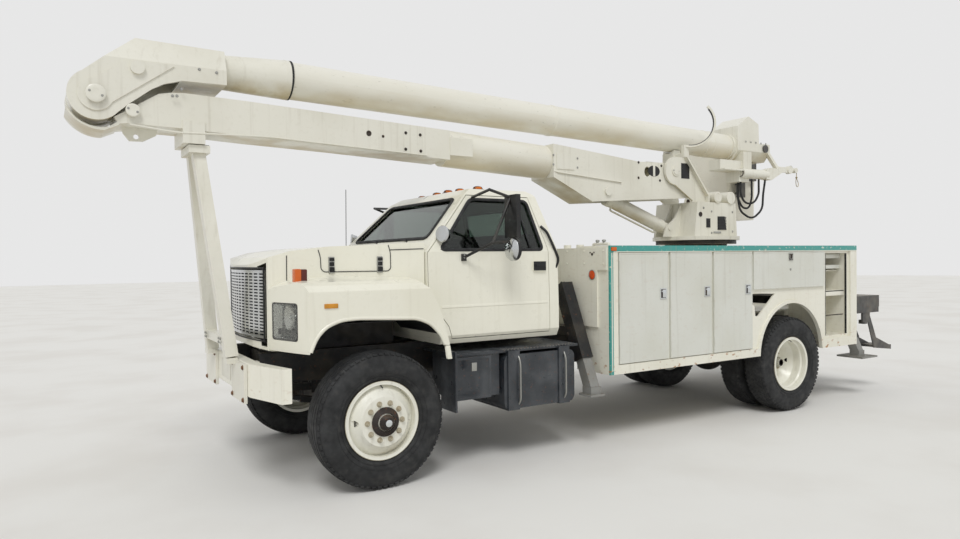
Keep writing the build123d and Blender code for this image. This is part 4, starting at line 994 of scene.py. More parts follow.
def around(centre: Vector, axis: Vector, radius: float, count: int, start: float = 0.0) -> list[Spot]:
    """Spots on a circle, their tops along its axis.

    Args:
        centre: The circle's centre.
        axis: Its axis.
        radius: Its radius.
        count: How many spots.
        start: Angle of the first in degrees.

    Returns:
        The spots.
    """
    first = axis.orthogonal().normalized()
    second = axis.cross(first).normalized()
    spots = []
    for i in range(count):
        a = 2 * math.pi * i / count + math.radians(start)
        out = first * math.cos(a) + second * math.sin(a)
        spots.append(Spot(centre + out * radius, axis, out))
    return spots


# Sub-assemblies

LEFT, RIGHT = 1, -1


def word(hand: int) -> str:
    """Name of a side."""
    return "left" if hand == LEFT else "right"


@dataclass(frozen=True)
class Wheel:
    """Tread, rim edge, nuts and hub of one end's wheel, single or twin."""

    end: str
    hand: int
    x: float
    tyres: tuple[float, ...]
    disc: float
    flange: float
    cap: float
    lugged: bool
    radius: float = 0.527
    rim: float = 0.302
    nuts: int = 10
    nut_circle: float = 0.1429
    block_rows: int = 66

    def build(self, kit: Repeater, paint: Palette) -> Obj:
        """Makes the wheel's piece.

        Args:
            kit: Sets the repeated items.
            paint: The finishes.

        Returns:
            The object.
        """
        name = f"wheel_{self.end}_{word(self.hand)}"
        piece = Piece(f"{name}_detail", name)
        axis = Vector((0, self.hand, 0))
        for centre in self.tyres:
            self.tread(piece, kit, paint, centre, axis)
        outer = self.tyres[0]
        lip = [(outer + d, r) for d, r in ((0.106, 0.301), (0.1125, 0.3035), (0.1155, 0.3), (0.1125, 0.288),
                                           (0.106, 0.286))]
        piece.take(turned(lip, self.hubward(0), axis, 64, True), paint.wheel)
        seat = [(outer + d, r) for d, r in ((0.104, 0.302), (0.1105, 0.3065), (0.1135, 0.3035),
                                            (0.106, 0.300))]
        piece.take(turned(seat, self.hubward(0), axis, 64, True), paint.rim)
        valve = [self.hubward(outer + 0.03) + Vector((0, 0, 0.262)),
                 self.hubward(outer + 0.09) + Vector((0, 0, 0.266)),
                 self.hubward(outer + 0.115) + Vector((0, 0, 0.25))]
        piece.take(piped(valve, 0.004, 0.01, 8), paint.trim)
        nuts = around(self.hubward(self.disc), axis, self.nut_circle, self.nuts, 9)
        stud = turned([(0, 0), (0, 0.009), (0.033, 0.009), (0.034, 0.0)], Vector(), Vector((0, 0, 1)), 10)
        piece.take(kit.make(joined(hex_head(0.0165, 0.020), stud), nuts, paint.nuts, HEAD_SPIN), paint.nuts)
        flange = [(self.flange, 0.1125), (self.flange + 0.003, 0.107), (self.flange + 0.022, 0.0715)]
        hub = [(d + 0.0015, r) for d, r in flange]
        piece.take(turned(hub + [(self.flange + 0.018, 0.069), (self.flange - 0.002, 0.104)],
                          self.hubward(0), axis, 40,
                          True), paint.cast)
        end = [(self.cap - 0.036, 0.0605), (self.cap - 0.034, 0.062), (self.cap + 0.0005, 0.0438),
               (self.cap + 0.003, 0.04), (self.cap + 0.003, 0.0)]
        piece.take(turned(end, self.hubward(0), axis, 40), paint.hub if self.lugged else paint.cast)
        if self.lugged:
            bolts = around(self.hubward(self.cap + 0.002), axis, 0.031, 8)
            piece.bolts(kit, bolts, paint.cast, 0.006, 0.006)
            return piece.done()
        grease = [(self.cap + 0.002, 0.028), (self.cap + 0.008, 0.0265), (self.cap + 0.012, 0.020),
                  (self.cap + 0.013, 0.0)]
        piece.take(turned(grease, self.hubward(0), axis, 28), paint.mirror)
        return piece.done()

    def hubward(self, across: float) -> Vector:
        """Point on the wheel's axis."""
        return at(self.x, self.hand * across, self.radius)

    def tread(self, piece: Piece, kit: Repeater, paint: Palette, centre: float, axis: Vector) -> None:
        """Adds the tread and the sidewall's moulded rings.

        Args:
            piece: The piece to add to.
            kit: Sets the repeated items.
            paint: The finishes.
            centre: The tyre's centre across the truck.
            axis: The wheel's axis.
        """
        for offset in (-0.078, -0.039, 0.0, 0.039, 0.078):
            crown = self.radius - offset ** 2
            rib = [(centre + offset + d, crown + r) for d, r in
                   ((-0.0155, -0.005), (-0.0145, 0.0028), (0.0145, 0.0028), (0.0155, -0.005))]
            piece.take(turned(rib, self.hubward(0), axis, 96, True), paint.tyre)
        for sign in (-1, 1):
            for radius, half in ((0.338, 0.1265), (0.372, 0.137), (0.462, 0.1325)):
                ring = [(centre + sign * (half + d), radius + r) for d, r in
                        ((-0.004, -0.004), (0.0012, -0.002), (0.0012, 0.002), (-0.004, 0.004))]
                piece.take(turned(ring, self.hubward(0), axis, 72, True), paint.tyre)
            block = soften(block_about((0.016, 0.012, 0.010)), 0.0015, 1)
            rows = around(self.hubward(centre + sign * 0.1085), Vector((0, 1, 0)), 0.5075, self.block_rows)
            lean = Vector((0, self.hand * sign * 0.75, 0))
            spots = [Spot(s.place, s.ahead + lean, Vector((0, 1, 0)).cross(s.ahead)) for s in rows]
            piece.take(kit.make(block, spots, paint.tyre), paint.tyre)
            if self.lugged:
                lug = soften(block_about((0.0135, 0.015, 0.0045)), 0.0012, 1)
                for offset in (0.0195, 0.0585):
                    ring = around(self.hubward(centre + sign * offset), Vector((0, 1, 0)),
                                  self.radius - offset ** 2 + 0.0005, self.block_rows,
                                  2.0 if offset < 0.03 else 0.0)
                    spots = [Spot(s.place, s.ahead, Vector((0, 0.35, 0)) + Vector((0, 1, 0)).cross(s.ahead))
                             for s in ring]
                    piece.take(kit.make(lug.copy(), spots, paint.tyre), paint.tyre)
                lug.free()


def block_about(half: Place) -> bmesh.types.BMesh:
    """Block about the origin, from its half sizes."""
    a = Vector(half)
    return block(-a, a, 0.0)


def side_y(z: float) -> float:
    """How far out the cab's side stands at a height."""
    if z <= 1.36:
        return 1.0
    if z <= 1.82:
        return 1.0 - (z - 1.36) * 0.0326
    return 0.985 - (z - 1.82) * 0.4118


def screen_x(z: float) -> float:
    """How far forward the windscreen's plane stands at a height."""
    return -0.535 - (z - 1.892) * 0.9817


def back_x(z: float) -> float:
    """How far forward the cab's back stands at a height."""
    return -1.823 + (z - 1.86) * 0.2


def seal(corners: list[Vector], radius: float, bend: float) -> bmesh.types.BMesh:
    """Rubber seal round a window.

    Args:
        corners: The window's corners in order.
        radius: The seal's radius.
        bend: Rounding at the corners.

    Returns:
        The mesh.
    """
    path = rounded([corners[-1].lerp(corners[0], 0.5)] + corners + [corners[-1].lerp(corners[0], 0.5)],
                   bend)[:-1]
    normal = (corners[1] - corners[0]).cross(corners[2] - corners[1]).normalized()
    loops = []
    for i, point in enumerate(path):
        ahead = (path[(i + 1) % len(path)] - path[i - 1]).normalized()
        side = ahead.cross(normal).normalized()
        loops.append([point + (side * math.cos(a) + normal * math.sin(a) * 0.6) * radius
                      for a in (2 * math.pi * k / 10 for k in range(10))])
    return rings(loops, True, False)


@dataclass(frozen=True)
class CabTrim:
    """Rubber, glass edges, handles, mirrors and wipers of the cab and its doors."""

    window: tuple[Flat, ...] = ((-0.608, 1.836), (-1.004, 2.284), (-1.606, 2.284), (-1.662, 1.836))
    windscreen: tuple[Flat, ...] = ((-0.80, 1.935), (-0.665, 2.29), (0.665, 2.29), (0.80, 1.935))
    back: tuple[Flat, ...] = ((-0.56, 1.89), (-0.52, 2.23), (0.52, 2.23), (0.56, 1.89))
    seal_radius: float = 0.015

    def build(self, kit: Repeater, paint: Palette) -> None:
        """Makes the pieces of the cab and of both doors.

        Args:
            kit: Sets the repeated items.
            paint: The finishes.
        """
        for hand in (LEFT, RIGHT):
            self.door(hand, kit, paint)
        cab = Piece("cab_trim", "chassis")
        cab.take(seal([at(screen_x(z) + 0.004, y, z + 0.003) for y, z in self.windscreen], 0.017, 0.06),
                 paint.seal)
        cab.take(seal([at(back_x(z) - 0.004, y, z) for y, z in self.back], 0.014, 0.05), paint.seal)
        cowl = [(AXLE + x, z) for x, z in ((-0.477, 1.826), (-0.474, 1.83), (-0.537, 1.899),
                                           (-0.545, 1.899))]
        cab.take(pushed(cowl, Along.Y, -0.8, 0.8), paint.trim)
        for y in (-0.20, 0.46):
            arm = [at(-0.556, y, 1.912), at(-0.558, y - 0.03, 1.928), at(-0.572, y - 0.24, 1.940)]
            cab.take(piped(arm, 0.0055, 0.02, 8), paint.trim)
            blade = [at(screen_x(1.932) + 0.014, y - 0.02, 1.932),
                     at(screen_x(1.948) + 0.016, y - 0.24, 1.948),
                     at(screen_x(1.936) + 0.014, y - 0.46, 1.936)]
            cab.take(piped(blade, 0.0055, 0.2, 8), paint.seal)
        for hand in (LEFT, RIGHT):
            grab = [at(-1.70, hand * 0.90, 2.05), at(-1.735, hand * 0.945, 2.0),
                    at(-1.78, hand * 0.99, 1.86),
                    at(-1.832, hand * 1.0, 1.74), at(-1.80, hand * 0.975, 1.655)]
            cab.take(piped(grab, 0.012, 0.05), paint.trim)
        for y in (-0.43, 0.43):
            cab.take(block(at(-1.86, y - 0.05, 1.08), at(-1.815, y + 0.05, 1.30), 0.008), paint.chassis)
        mast = [at(-0.52, -0.93, 1.86), at(-0.53, -0.94, 2.5)]
        cab.take(piped(mast, 0.0035, 0.0, 6), paint.trim)
        cab.take(turned([(0, 0), (0, 0.016), (0.03, 0.010), (0.03, 0)], at(-0.52, -0.93, 1.845),
                        Vector((0, 0, 1)), 16),
                 paint.trim)
        cab.done()

    def door(self, hand: int, kit: Repeater, paint: Palette) -> None:
        """Makes one door's piece.

        Args:
            hand: The side.
            kit: Sets the repeated items.
            paint: The finishes.
        """
        piece = Piece(f"door_trim_{word(hand)}", f"cab_door_{word(hand)}")
        corners = [at(x, hand * (side_y(z) + 0.003), z) for x, z in self.window]
        piece.take(seal(corners, self.seal_radius, 0.05), paint.seal)
        post = [at(-1.50, hand * (side_y(2.27) - 0.003), 2.27),
                at(-1.53, hand * (side_y(1.85) - 0.003), 1.85)]
        piece.take(piped(post, 0.008, 0.0, 8), paint.seal)
        y = hand * 1.011
        piece.take(block(at(-1.672, min(y, y - hand * 0.004), 1.647),
                         at(-1.538, max(y, y + hand * 0.004), 1.729), 0.003),
                   paint.trim)
        piece.take(block(at(-1.655, min(y, y + hand * 0.013), 1.678),
                         at(-1.556, max(y, y + hand * 0.013), 1.706), 0.005),
                   paint.trim)
        mirror = turned([(0.0, 0.0), (0.0, 0.094), (0.004, 0.099), (0.022, 0.085), (0.040, 0.05),
                         (0.046, 0.0)],
                        at(-1.150, hand * 1.24, 1.835), Vector((1, 0, 0)), 40)
        piece.take(mirror, paint.chrome)
        glass = turned([(0.0, 0.0), (0.006, 0.06), (0.0, 0.088), (-0.003, 0.088), (-0.003, 0.0)],
                       at(-1.186, hand * 1.24, 1.835), Vector((-1, 0, 0)), 40)
        piece.take(glass, paint.mirror)
        pane = block(at(-1.1775, hand * 1.24 - 0.082, 1.94), at(-1.1745, hand * 1.24 + 0.082, 2.28), 0.001)
        piece.take(pane, paint.mirror)
        crease = [(hand * 0.998, 1.345), (hand * 1.0035, 1.353), (hand * 1.0035, 1.367),
                  (hand * 0.998, 1.378)]
        piece.take(pushed(crease if hand == LEFT else crease[::-1], Along.X, AXLE - 1.697, AXLE - 0.604),
                   paint.cab)
        lamp = turned([(-0.03, 0.0), (-0.03, 0.02), (0.0, 0.052), (0.045, 0.066), (0.05, 0.07),
                       (0.062, 0.062),
                       (0.066, 0.0)], at(-0.66, hand * 0.985, 1.965), Vector((0.9, 0.35 * hand, 0.05)), 32)
        piece.take(lamp, paint.chrome)
        piece.take(piped([at(-0.69, hand * 0.93, 1.93), at(-0.675, hand * 0.98, 1.95)], 0.011, 0, 10),
                   paint.chrome)
        clamps = [Spot(at(x, hand * y, z), Vector((0, hand, 0))) for x, y, z in
                  ((-0.82, 1.008, 1.77), (-1.03, 0.81, 2.30), (-0.82, 1.008, 1.79))]
        piece.bolts(kit, clamps, paint.zinc, 0.009, 0.008)
        piece.done()


NOSE_RADIUS = 2.868
NOSE_TIP = 0.792


def nose_x(y: float) -> float:
    """How far forward the nose stands at a place across."""
    return NOSE_TIP - NOSE_RADIUS + math.sqrt(NOSE_RADIUS ** 2 - y ** 2)


def nose_plate(y0: float, y1: float, z0: float, z1: float, front: float, back: float,
               steps: int = 12) -> bmesh.types.BMesh:
    """Plate that follows the nose's curve.

    Args:
        y0: One end across.
        y1: The other end.
        z0: Bottom.
        z1: Top.
        front: How far its front stands out of the nose.
        back: How far its back does.
        steps: Facets along the curve.

    Returns:
        The mesh.
    """
    loops = []
    for i in range(steps + 1):
        y = y0 + (y1 - y0) * i / steps
        x = nose_x(y)
        loops.append([at(x + front, y, z0), at(x + front, y, z1), at(x + back, y, z1), at(x + back, y, z0)])
    return rings(loops, False, True)


def hood_side(x: float, out: float = 0.0) -> float:
    """How far out the upper hood's side stands at a place forward."""
    return 0.960 - (x + 0.486) * 0.2709 + out


@dataclass(frozen=True)
class FrontEnd:
    """Lamps, grille lines, side panel and latches of the tilting hood."""

    lamp: tuple[float, float, float, float] = (0.69, 1.01, 1.1595, 1.4445)
    panel: tuple[Flat, ...] = ((0.352, 1.842), (0.336, 1.782), (0.333, 1.690), (0.310, 1.668),
                               (-0.180, 1.668),
                               (-0.200, 1.690), (-0.198, 1.82), (-0.182, 1.878))
    latches: tuple[float, ...] = (0.253, -0.116)
    lip: tuple[Flat, ...] = ((0.552, 1.09), (0.506, 1.195), (0.433, 1.27), (0.322, 1.314), (0.19, 1.322),
                             (-0.318, 1.296), (-0.443, 1.244), (-0.528, 1.15), (-0.565, 1.070))
    # Outline of the black sheet inside each wheel arch, which is painted shade for the fender's shadow.
    arch_shade_sheet: tuple[Flat, ...] = ((0.545, 1.095), (0.500, 1.19), (0.43, 1.258), (0.33, 1.284), (-0.31, 1.284),
                               (-0.44, 1.234), (-0.505, 1.1625))
    tail: tuple[Flat, ...] = ((-0.6045, 1.0585), (-0.5675, 1.0585), (-0.5815, 0.9485), (-0.6235, 0.9485))

    def build(self, kit: Repeater, paint: Palette) -> None:
        """Makes the lamps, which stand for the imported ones, and the hood's trim.

        Args:
            kit: Sets the repeated items.
            paint: The finishes.
        """
        lamps = Piece("front_lamps_detail", "hood", "lamp_lens")
        self.headlamps(lamps, paint)
        self.markers(lamps, paint)
        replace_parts(lamps.done(), "front_lamps")
        trim = Piece("hood_trim", "hood")
        self.grille(trim, paint)
        self.sides(trim, kit, paint)
        trim.done()
        tails = Piece("fender_tails", "chassis")
        tails.both(pushed([(AXLE + x, z) for x, z in self.tail], Along.Y, 1.1040, 1.1315, 0.002), paint.cab)
        tails.both(piped([at(-0.572, 1.1185, 1.052), at(-0.586, 1.1185, 0.956)], 0.012, 0.0, 12), paint.cab)
        tails.done()

    def headlamps(self, piece: Piece, paint: Palette) -> None:
        """Adds both headlamps: lens, frame, bowl, reflector and bulb.

        Args:
            piece: The piece to add to.
            paint: The finishes.
        """
        y0, y1, z0, z1 = self.lamp
        piece.both(soften(nose_plate(y0 + 0.003, y1 - 0.003, z0 + 0.003, z1 - 0.003, 0.002, -0.002), 0.001,
                          1), paint.clear)
        gap = 0.006
        edge = [(y0 + gap, z0 + gap), (y1 - gap, z0 + gap), (y1 - gap, z1 - gap), (y0 + gap, z1 - gap)]
        frame = [at(nose_x(y) - 0.004, y, z) for y, z in edge]
        piece.both(seal(frame, 0.007, 0.03), paint.trim)
        wall = 0.022
        loops = []
        for inward, back in ((wall + 0.012, 0.062), (gap, 0.008), (0.0, 0.010), (0.0, 0.078)):
            flat = [(y0 + inward, z0 + inward), (y1 - inward, z0 + inward), (y1 - inward, z1 - inward),
                    (y0 + inward, z1 - inward)]
            loops.append([at(nose_x(y) - back, y, z) for y, z in flat])
        piece.both(rings(loops, False, True), paint.bowl)
        facing = Vector((1, 0.12, 0))
        middle = at(nose_x(0.87) - 0.066, 0.875, 1.335)
        dish = [(0.0, 0.018), (0.004, 0.045), (0.018, 0.078), (0.036, 0.094), (0.038, 0.098), (0.0, 0.098),
                (-0.004, 0.018)]
        piece.both(turned(dish, middle, facing, 40, True), paint.chrome)
        bulb = [(0.0, 0.012), (0.030, 0.012), (0.040, 0.008), (0.044, 0.0)]
        piece.both(turned(bulb, middle, facing, 20), paint.mirror)
        for k in range(7):
            y = 0.725 + k * 0.042
            rib = block(at(nose_x(y) - 0.058, y - 0.004, z0 + 0.036),
                        at(nose_x(y) - 0.028, y + 0.004, z0 + 0.085), 0.0)
            piece.both(rib, paint.chrome)

    def markers(self, piece: Piece, paint: Palette) -> None:
        """Adds the turn lamps on the fenders and the side markers.

        Args:
            piece: The piece to add to.
            paint: The finishes.
        """
        piece.both(block(at(0.556, 0.876, 1.562), at(0.607, 0.954, 1.698), 0.012), paint.turn)
        piece.both(block(at(0.511, 0.879, 1.560), at(0.558, 0.951, 1.695), 0.010), paint.turn_back)
        piece.both(block(at(0.530, 0.895, 1.545), at(0.590, 0.935, 1.568), 0.004), paint.trim)
        piece.both(block(at(0.342, 1.1285, 1.405), at(0.448, 1.1395, 1.440), 0.005), paint.marker)
        piece.both(block(at(0.338, 1.1275, 1.401), at(0.452, 1.1310, 1.444), 0.002), paint.cab)

    def grille(self, piece: Piece, paint: Palette) -> None:
        """Adds the dark backing and the black lines over and under the grille.

        Args:
            piece: The piece to add to.
            paint: The finishes.
        """
        piece.take(nose_plate(-0.555, 0.555, 1.145, 1.692, -0.032, -0.036, 20), paint.trim)
        for z0, z1 in ((1.700, 1.711), (1.128, 1.139)):
            piece.take(soften(nose_plate(-0.575, 0.575, z0, z1, 0.004, -0.006, 20), 0.001, 1), paint.trim)
        piece.both(nose_plate(0.556, 0.566, 1.139, 1.70, 0.002, -0.006, 2), paint.trim)
        piece.both(soften(nose_plate(0.548, 0.5575, 1.152, 1.688, -0.003, -0.010, 2), 0.001, 1),
                   paint.chrome)
        for z0, z1 in ((1.676, 1.688), (1.152, 1.164)):
            piece.take(soften(nose_plate(-0.55, 0.55, z0, z1, -0.003, -0.010, 20), 0.001, 1), paint.chrome)

    def sides(self, piece: Piece, kit: Repeater, paint: Palette) -> None:
        """Adds the side panels' seams, the rubber latches, the rolled lips round the wheel arches and a black
        sheet inside each arch that is painted shade.

        Args:
            piece: The piece to add to.
            kit: Sets the repeated items.
            paint: The finishes.
        """
        for path in (self.panel, ((0.584, 1.80), (0.586, 1.60)), ((-0.190, 1.838), (-0.462, 1.846))):
            seam = rounded([at(x, hood_side(x, 0.0022), z) for x, z in path], 0.02)
            piece.both(piped(seam, 0.0035, 0.0, 6), paint.trim)
        for x in self.latches:
            y = hood_side(x)
            piece.both(block(at(x - 0.026, y - 0.004, 1.655), at(x + 0.026, y + 0.006, 1.787), 0.003),
                       paint.zinc)
            for low, high, deep in ((1.665, 1.705, 0.022), (1.713, 1.745, 0.016), (1.753, 1.779, 0.020)):
                piece.both(block(at(x - 0.019, y, low), at(x + 0.019, y + deep, high), 0.006), paint.seal)
        roll = [at(x, 1.1185, z) for x, z in self.lip]
        piece.both(piped(roll, 0.017, 0.05, 12), paint.cab)
        # Black sheet inside each wheel arch: painted shade for the deep shadow under the fender, not a real
        # liner.
        inner = [(x * 0.994, z - 0.003) for x, z in self.arch_shade_sheet]
        sheet = [(AXLE + x, z) for x, z in (*self.arch_shade_sheet, *inner[::-1])]
        piece.both(pushed(sheet, Along.Y, 0.42, 1.104), paint.trim)
        hooks = [Spot(at(0.70, s * 0.30, 1.055), Vector((0, 0, -1))) for s in (-1, 1)]
        piece.bolts(kit, hooks, paint.zinc, 0.012, 0.012)


def border(x0: float, x1: float, z0: float, z1: float, width: float, y0: float,
           y1: float) -> bmesh.types.BMesh:
    """Flat frame in a wall along the truck.

    Args:
        x0: Back, forward of the front axle.
        x1: Front.
        z0: Bottom.
        z1: Top.
        width: Width of its four sides.
        y0: Its back, across.
        y1: Its face.

    Returns:
        The mesh.
    """
    loops = []
    for inward, y in ((0.0, y0), (0.0, y1), (width, y1), (width, y0)):
        loops.append([at(x0 + inward, y, z0 + inward), at(x1 - inward, y, z0 + inward),
                      at(x1 - inward, y, z1 - inward), at(x0 + inward, y, z1 - inward)])
    return rings(loops, True, False)


@dataclass(frozen=True)
class UtilityBody:
    """Door hems, latches, slats, reflectors and fittings of the utility body."""

    face: float = 1.220
    hem: float = 0.013
    proud: float = 0.0030
    latch_z: tuple[float, float] = (1.350, 1.450)
    slats: tuple[tuple[float, float], ...] = ((1.716, 1.764), (1.592, 1.636))

    def build(self, kit: Repeater, paint: Palette) -> None:
        """Makes every door's piece and the body's own.

        Args:
            kit: Sets the repeated items.
            paint: The finishes.
        """
        for hand in (LEFT, RIGHT):
            for number in (1, 2, 3, 4) if hand == LEFT else (1, 2, 3, 4, 5):
                self.door(f"locker_door_{word(hand)}_{number}", number, hand, paint)
        body = Piece("body_trim", "chassis")
        self.front_panel(body, kit, paint)
        self.rear_bay(body, paint)
        for x in (-3.025, -3.655, -4.2925):
            body.both(pushed([(AXLE + x - 0.0135, 0.756), (AXLE + x + 0.0135, 0.756),
                              (AXLE + x + 0.0135, 1.805),
                              (AXLE + x - 0.0135, 1.805)], Along.Y, 1.193, 1.2005), paint.body)
        gutter = [at(-2.26, 1.2215, 1.8085), at(-6.24, 1.2215, 1.8085)]
        body.both(piped(gutter, 0.005, 0.0, 8), paint.body)
        body.done()

    def depths(self, hand: int, first: float, second: float) -> tuple[float, float]:
        """Two depths off the doors' face, the lower y first.

        Args:
            hand: Side of the truck.
            first: Out from the face.
            second: The other, farther out.

        Returns:
            Their y.
        """
        low, high = sorted((hand * (self.face + first), hand * (self.face + second)))
        return low, high

    def door(self, name: str, number: int, hand: int, paint: Palette) -> None:
        """Makes one door's hem, latch and hinge knuckles.

        Args:
            name: The door's node and body.
            number: Its place from the front.
            hand: The side.
            paint: The finishes.
        """
        low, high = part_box(name)
        x0, x1, z0, z1 = low[0] - AXLE, high[0] - AXLE, low[2], high[2]
        piece = Piece(f"{name}_trim", name)
        near, far = self.depths(hand, -0.001, self.proud)
        piece.take(soften(border(x0 + 0.001, x1 - 0.001, z0 + 0.001, z1 - 0.001, self.hem, near, far),
                          0.0012, 1), paint.door)
        if number == 4:
            self.slam_latch(piece, -4.945, hand, paint)
        else:
            self.latch(piece, x0 + 0.075 if number < 5 else x1 - 0.075, hand, paint)
        knuckles = [at(x1 - 0.004, hand * 1.2235, z) for z in (z0 + 0.12, (z0 + z1) / 2, z1 - 0.12)]
        if number == 4:
            knuckles = [at(x, hand * 1.2235, z1 - 0.004) for x in (x0 + 0.2, (x0 + x1) / 2, x1 - 0.2)]
        for spot in knuckles:
            along = Vector((0.045, 0, 0)) if number == 4 else Vector((0, 0, 0.045))
            piece.take(piped([spot - along, spot + along], 0.0042, 0.0, 10), paint.door)
        piece.done()

    def latch(self, piece: Piece, x: float, hand: int, paint: Palette) -> None:
        """Adds a square paddle latch.

        Args:
            piece: The piece to add to.
            x: Its middle.
            hand: The side.
            paint: The finishes.
        """
        z0, z1 = self.latch_z
        deep, rim = hand * (self.face + 0.003), hand * (self.face + 0.0085)
        frame = border(x - 0.0435, x + 0.0435, z0 - 0.002, z1 + 0.002, 0.010, min(deep, rim),
                       max(deep, rim))
        piece.take(soften(frame, 0.0015, 1), paint.mirror)
        y0, y1 = self.depths(hand, 0.0045, 0.006)
        piece.take(block(at(x - 0.034, y0, z0 + 0.008), at(x + 0.034, y1, z1 - 0.008), 0.0), paint.cast)
        y0, y1 = self.depths(hand, 0.005, 0.0105)
        piece.take(block(at(x - 0.033, y0, z0 + 0.012), at(x + 0.012, y1, z1 - 0.012), 0.003), paint.mirror)
        lock = at(x + 0.02, hand * (self.face + 0.005), z1 - 0.028)
        piece.take(turned([(0, 0.0085), (0.0035, 0.008), (0.004, 0.0)], lock, Vector((0, hand, 0)), 20),
                   paint.chrome)

    def slam_latch(self, piece: Piece, x: float, hand: int, paint: Palette) -> None:
        """Adds the flap door's folding ring latch and its keyhole.

        Args:
            piece: The piece to add to.
            x: Its middle.
            hand: The side.
            paint: The finishes.
        """
        deep, rim = self.depths(hand, 0.005, 0.0085)
        piece.take(soften(border(x - 0.041, x + 0.041, 1.699, 1.781, 0.009, deep, rim), 0.0012, 1),
                   paint.zinc)
        y0, y1 = self.depths(hand, 0.0058, 0.0068)
        piece.take(block(at(x - 0.033, y0, 1.708), at(x + 0.033, y1, 1.772), 0.0), paint.cast)
        y = hand * (self.face + 0.0105)
        ring = [at(x - 0.024, y, 1.762), at(x - 0.024, y, 1.726), at(x, y, 1.712), at(x + 0.024, y, 1.726),
                at(x + 0.024, y, 1.762)]
        piece.take(piped(ring, 0.0035, 0.02, 8), paint.zinc)
        lock = at(x, hand * self.face, 1.60)
        piece.take(turned([(0, 0.014), (0.004, 0.013), (0.005, 0.006), (0.002, 0.0)], lock,
                          Vector((0, hand, 0)), 20),
                   paint.zinc)

    def front_panel(self, piece: Piece, kit: Repeater, paint: Palette) -> None:
        """Adds the reflector, wiring holes, pipe, knobs, seam bolts and corner beads on the body's front.

        Args:
            piece: The piece to add to.
            kit: Sets the repeated items.
            paint: The finishes.
        """
        ahead = Vector((1, 0, 0))
        piece.take(turned([(0, 0.042), (0.004, 0.042), (0.007, 0.036), (0.008, 0.0)],
                          at(-2.2305, 0.995, 1.594), ahead, 32),
                   paint.reflector)
        piece.take(turned([(0, 0.040), (0.004, 0.048), (0.006, 0.044), (0.004, 0.040)],
                          at(-2.2305, 0.995, 1.594), ahead, 32,
                          True), paint.zinc)
        for y, z, r in ((0.998, 1.789, 0.013), (0.971, 1.805, 0.007), (1.025, 1.805, 0.007)):
            piece.take(turned([(0, r), (0.0035, r), (0.0035, r * 0.55), (0.001, 0.0)], at(-2.2305, y, z),
                              ahead, 20), paint.cast)
        top = [at(-2.262, 0.98, 1.850), at(-2.262, 0.98, 1.884), at(-2.262, 1.196, 1.884),
               at(-2.262, 1.196, 1.867)]
        piece.take(piped(top, 0.014, 0.02), paint.boom)
        for y in (1.04, 1.13):
            knob = [(0, 0.012), (0.012, 0.012), (0.016, 0.020), (0.030, 0.018), (0.034, 0.0)]
            piece.take(turned(knob, at(-2.262, y, 1.892), Vector((0, 0, 1)), 20), paint.zinc)
        seams = [Spot(at(-2.2305, y, z), ahead) for y in (0.36, 0.62, 0.88, 1.15) for z in (1.70, 1.82)]
        piece.bolts(kit, seams, paint.body, 0.008, 0.006)
        bead = [at(-2.2725, 1.2215, 1.80), at(-2.2725, 1.2215, 0.70)]
        piece.both(piped(bead, 0.0055, 0.0, 8), paint.boom)

    def rear_bay(self, piece: Piece, paint: Palette) -> None:
        """Adds the slats and the shelf lips of the open rear compartment.

        Args:
            piece: The piece to add to.
            paint: The finishes.
        """
        for z0, z1 in self.slats:
            piece.take(block(at(-6.070, 1.098, z0), at(-5.645, 1.118, z1), 0.003), paint.door)
        piece.take(block(at(-6.070, 1.152, 1.268), at(-5.645, 1.166, 1.334), 0.003), paint.body)
        piece.take(block(at(-6.070, 1.150, 1.030), at(-5.645, 1.156, 1.042), 0.002), paint.cast)
        for x in (-5.644, -6.071):
            piece.take(block(at(x - 0.006, 1.176, 0.806), at(x + 0.006, 1.1965, 1.774), 0.002), paint.seal)


@dataclass(frozen=True)
class BodyLamps:
    """Roof lamps, corner markers and tail lamps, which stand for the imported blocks."""

    roof: tuple[float, ...] = (-0.56, -0.23, 0.0, 0.23, 0.56)

    def build(self, kit: Repeater, paint: Palette) -> None:
        """Makes the lamps.

        Args:
            kit: Sets the repeated items; not used.
            paint: The finishes.
        """
        piece = Piece("body_lamps_detail", "chassis", "lamp_amber")
        for y in self.roof:
            z = 2.4055 - abs(y) * 0.0272
            base = pushed([(AXLE - 1.285, y - 0.035), (AXLE - 1.185, y - 0.035), (AXLE - 1.185, y + 0.035),
                           (AXLE - 1.285, y + 0.035)], Along.Z, z, z + 0.010, 0.004)
            piece.take(base, paint.trim)
            loops = []
            for up, share in ((0.0098, 0.90), (0.020, 0.87), (0.031, 0.72), (0.037, 0.45), (0.0385, 0.15)):
                loops.append([at(-1.235 + 0.05 * share * self.round_off(math.cos(a)),
                                 y + 0.035 * share * self.round_off(math.sin(a)), z + up)
                              for a in (2 * math.pi * k / 28 for k in range(28))])
            piece.take(rings(loops, False, True), paint.amber)
        piece.both(block(at(-2.328, 1.220, 1.817), at(-2.264, 1.2325, 1.853), 0.005), paint.turn)
        for z0, z1, finish in ((1.492, 1.565, paint.clear), (1.568, 1.718, paint.red)):
            piece.both(block(at(-6.294, 1.063, z0), at(-6.255, 1.157, z1), 0.008), finish)
        piece.both(block(at(-6.262, 1.058, 1.487), at(-6.249, 1.162, 1.722), 0.003), paint.trim)
        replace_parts(piece.done(), "body_lamps")

    def round_off(self, share: float) -> float:
        """Squares a circle's sine or cosine a little."""
        return math.copysign(abs(share) ** 0.55, share)


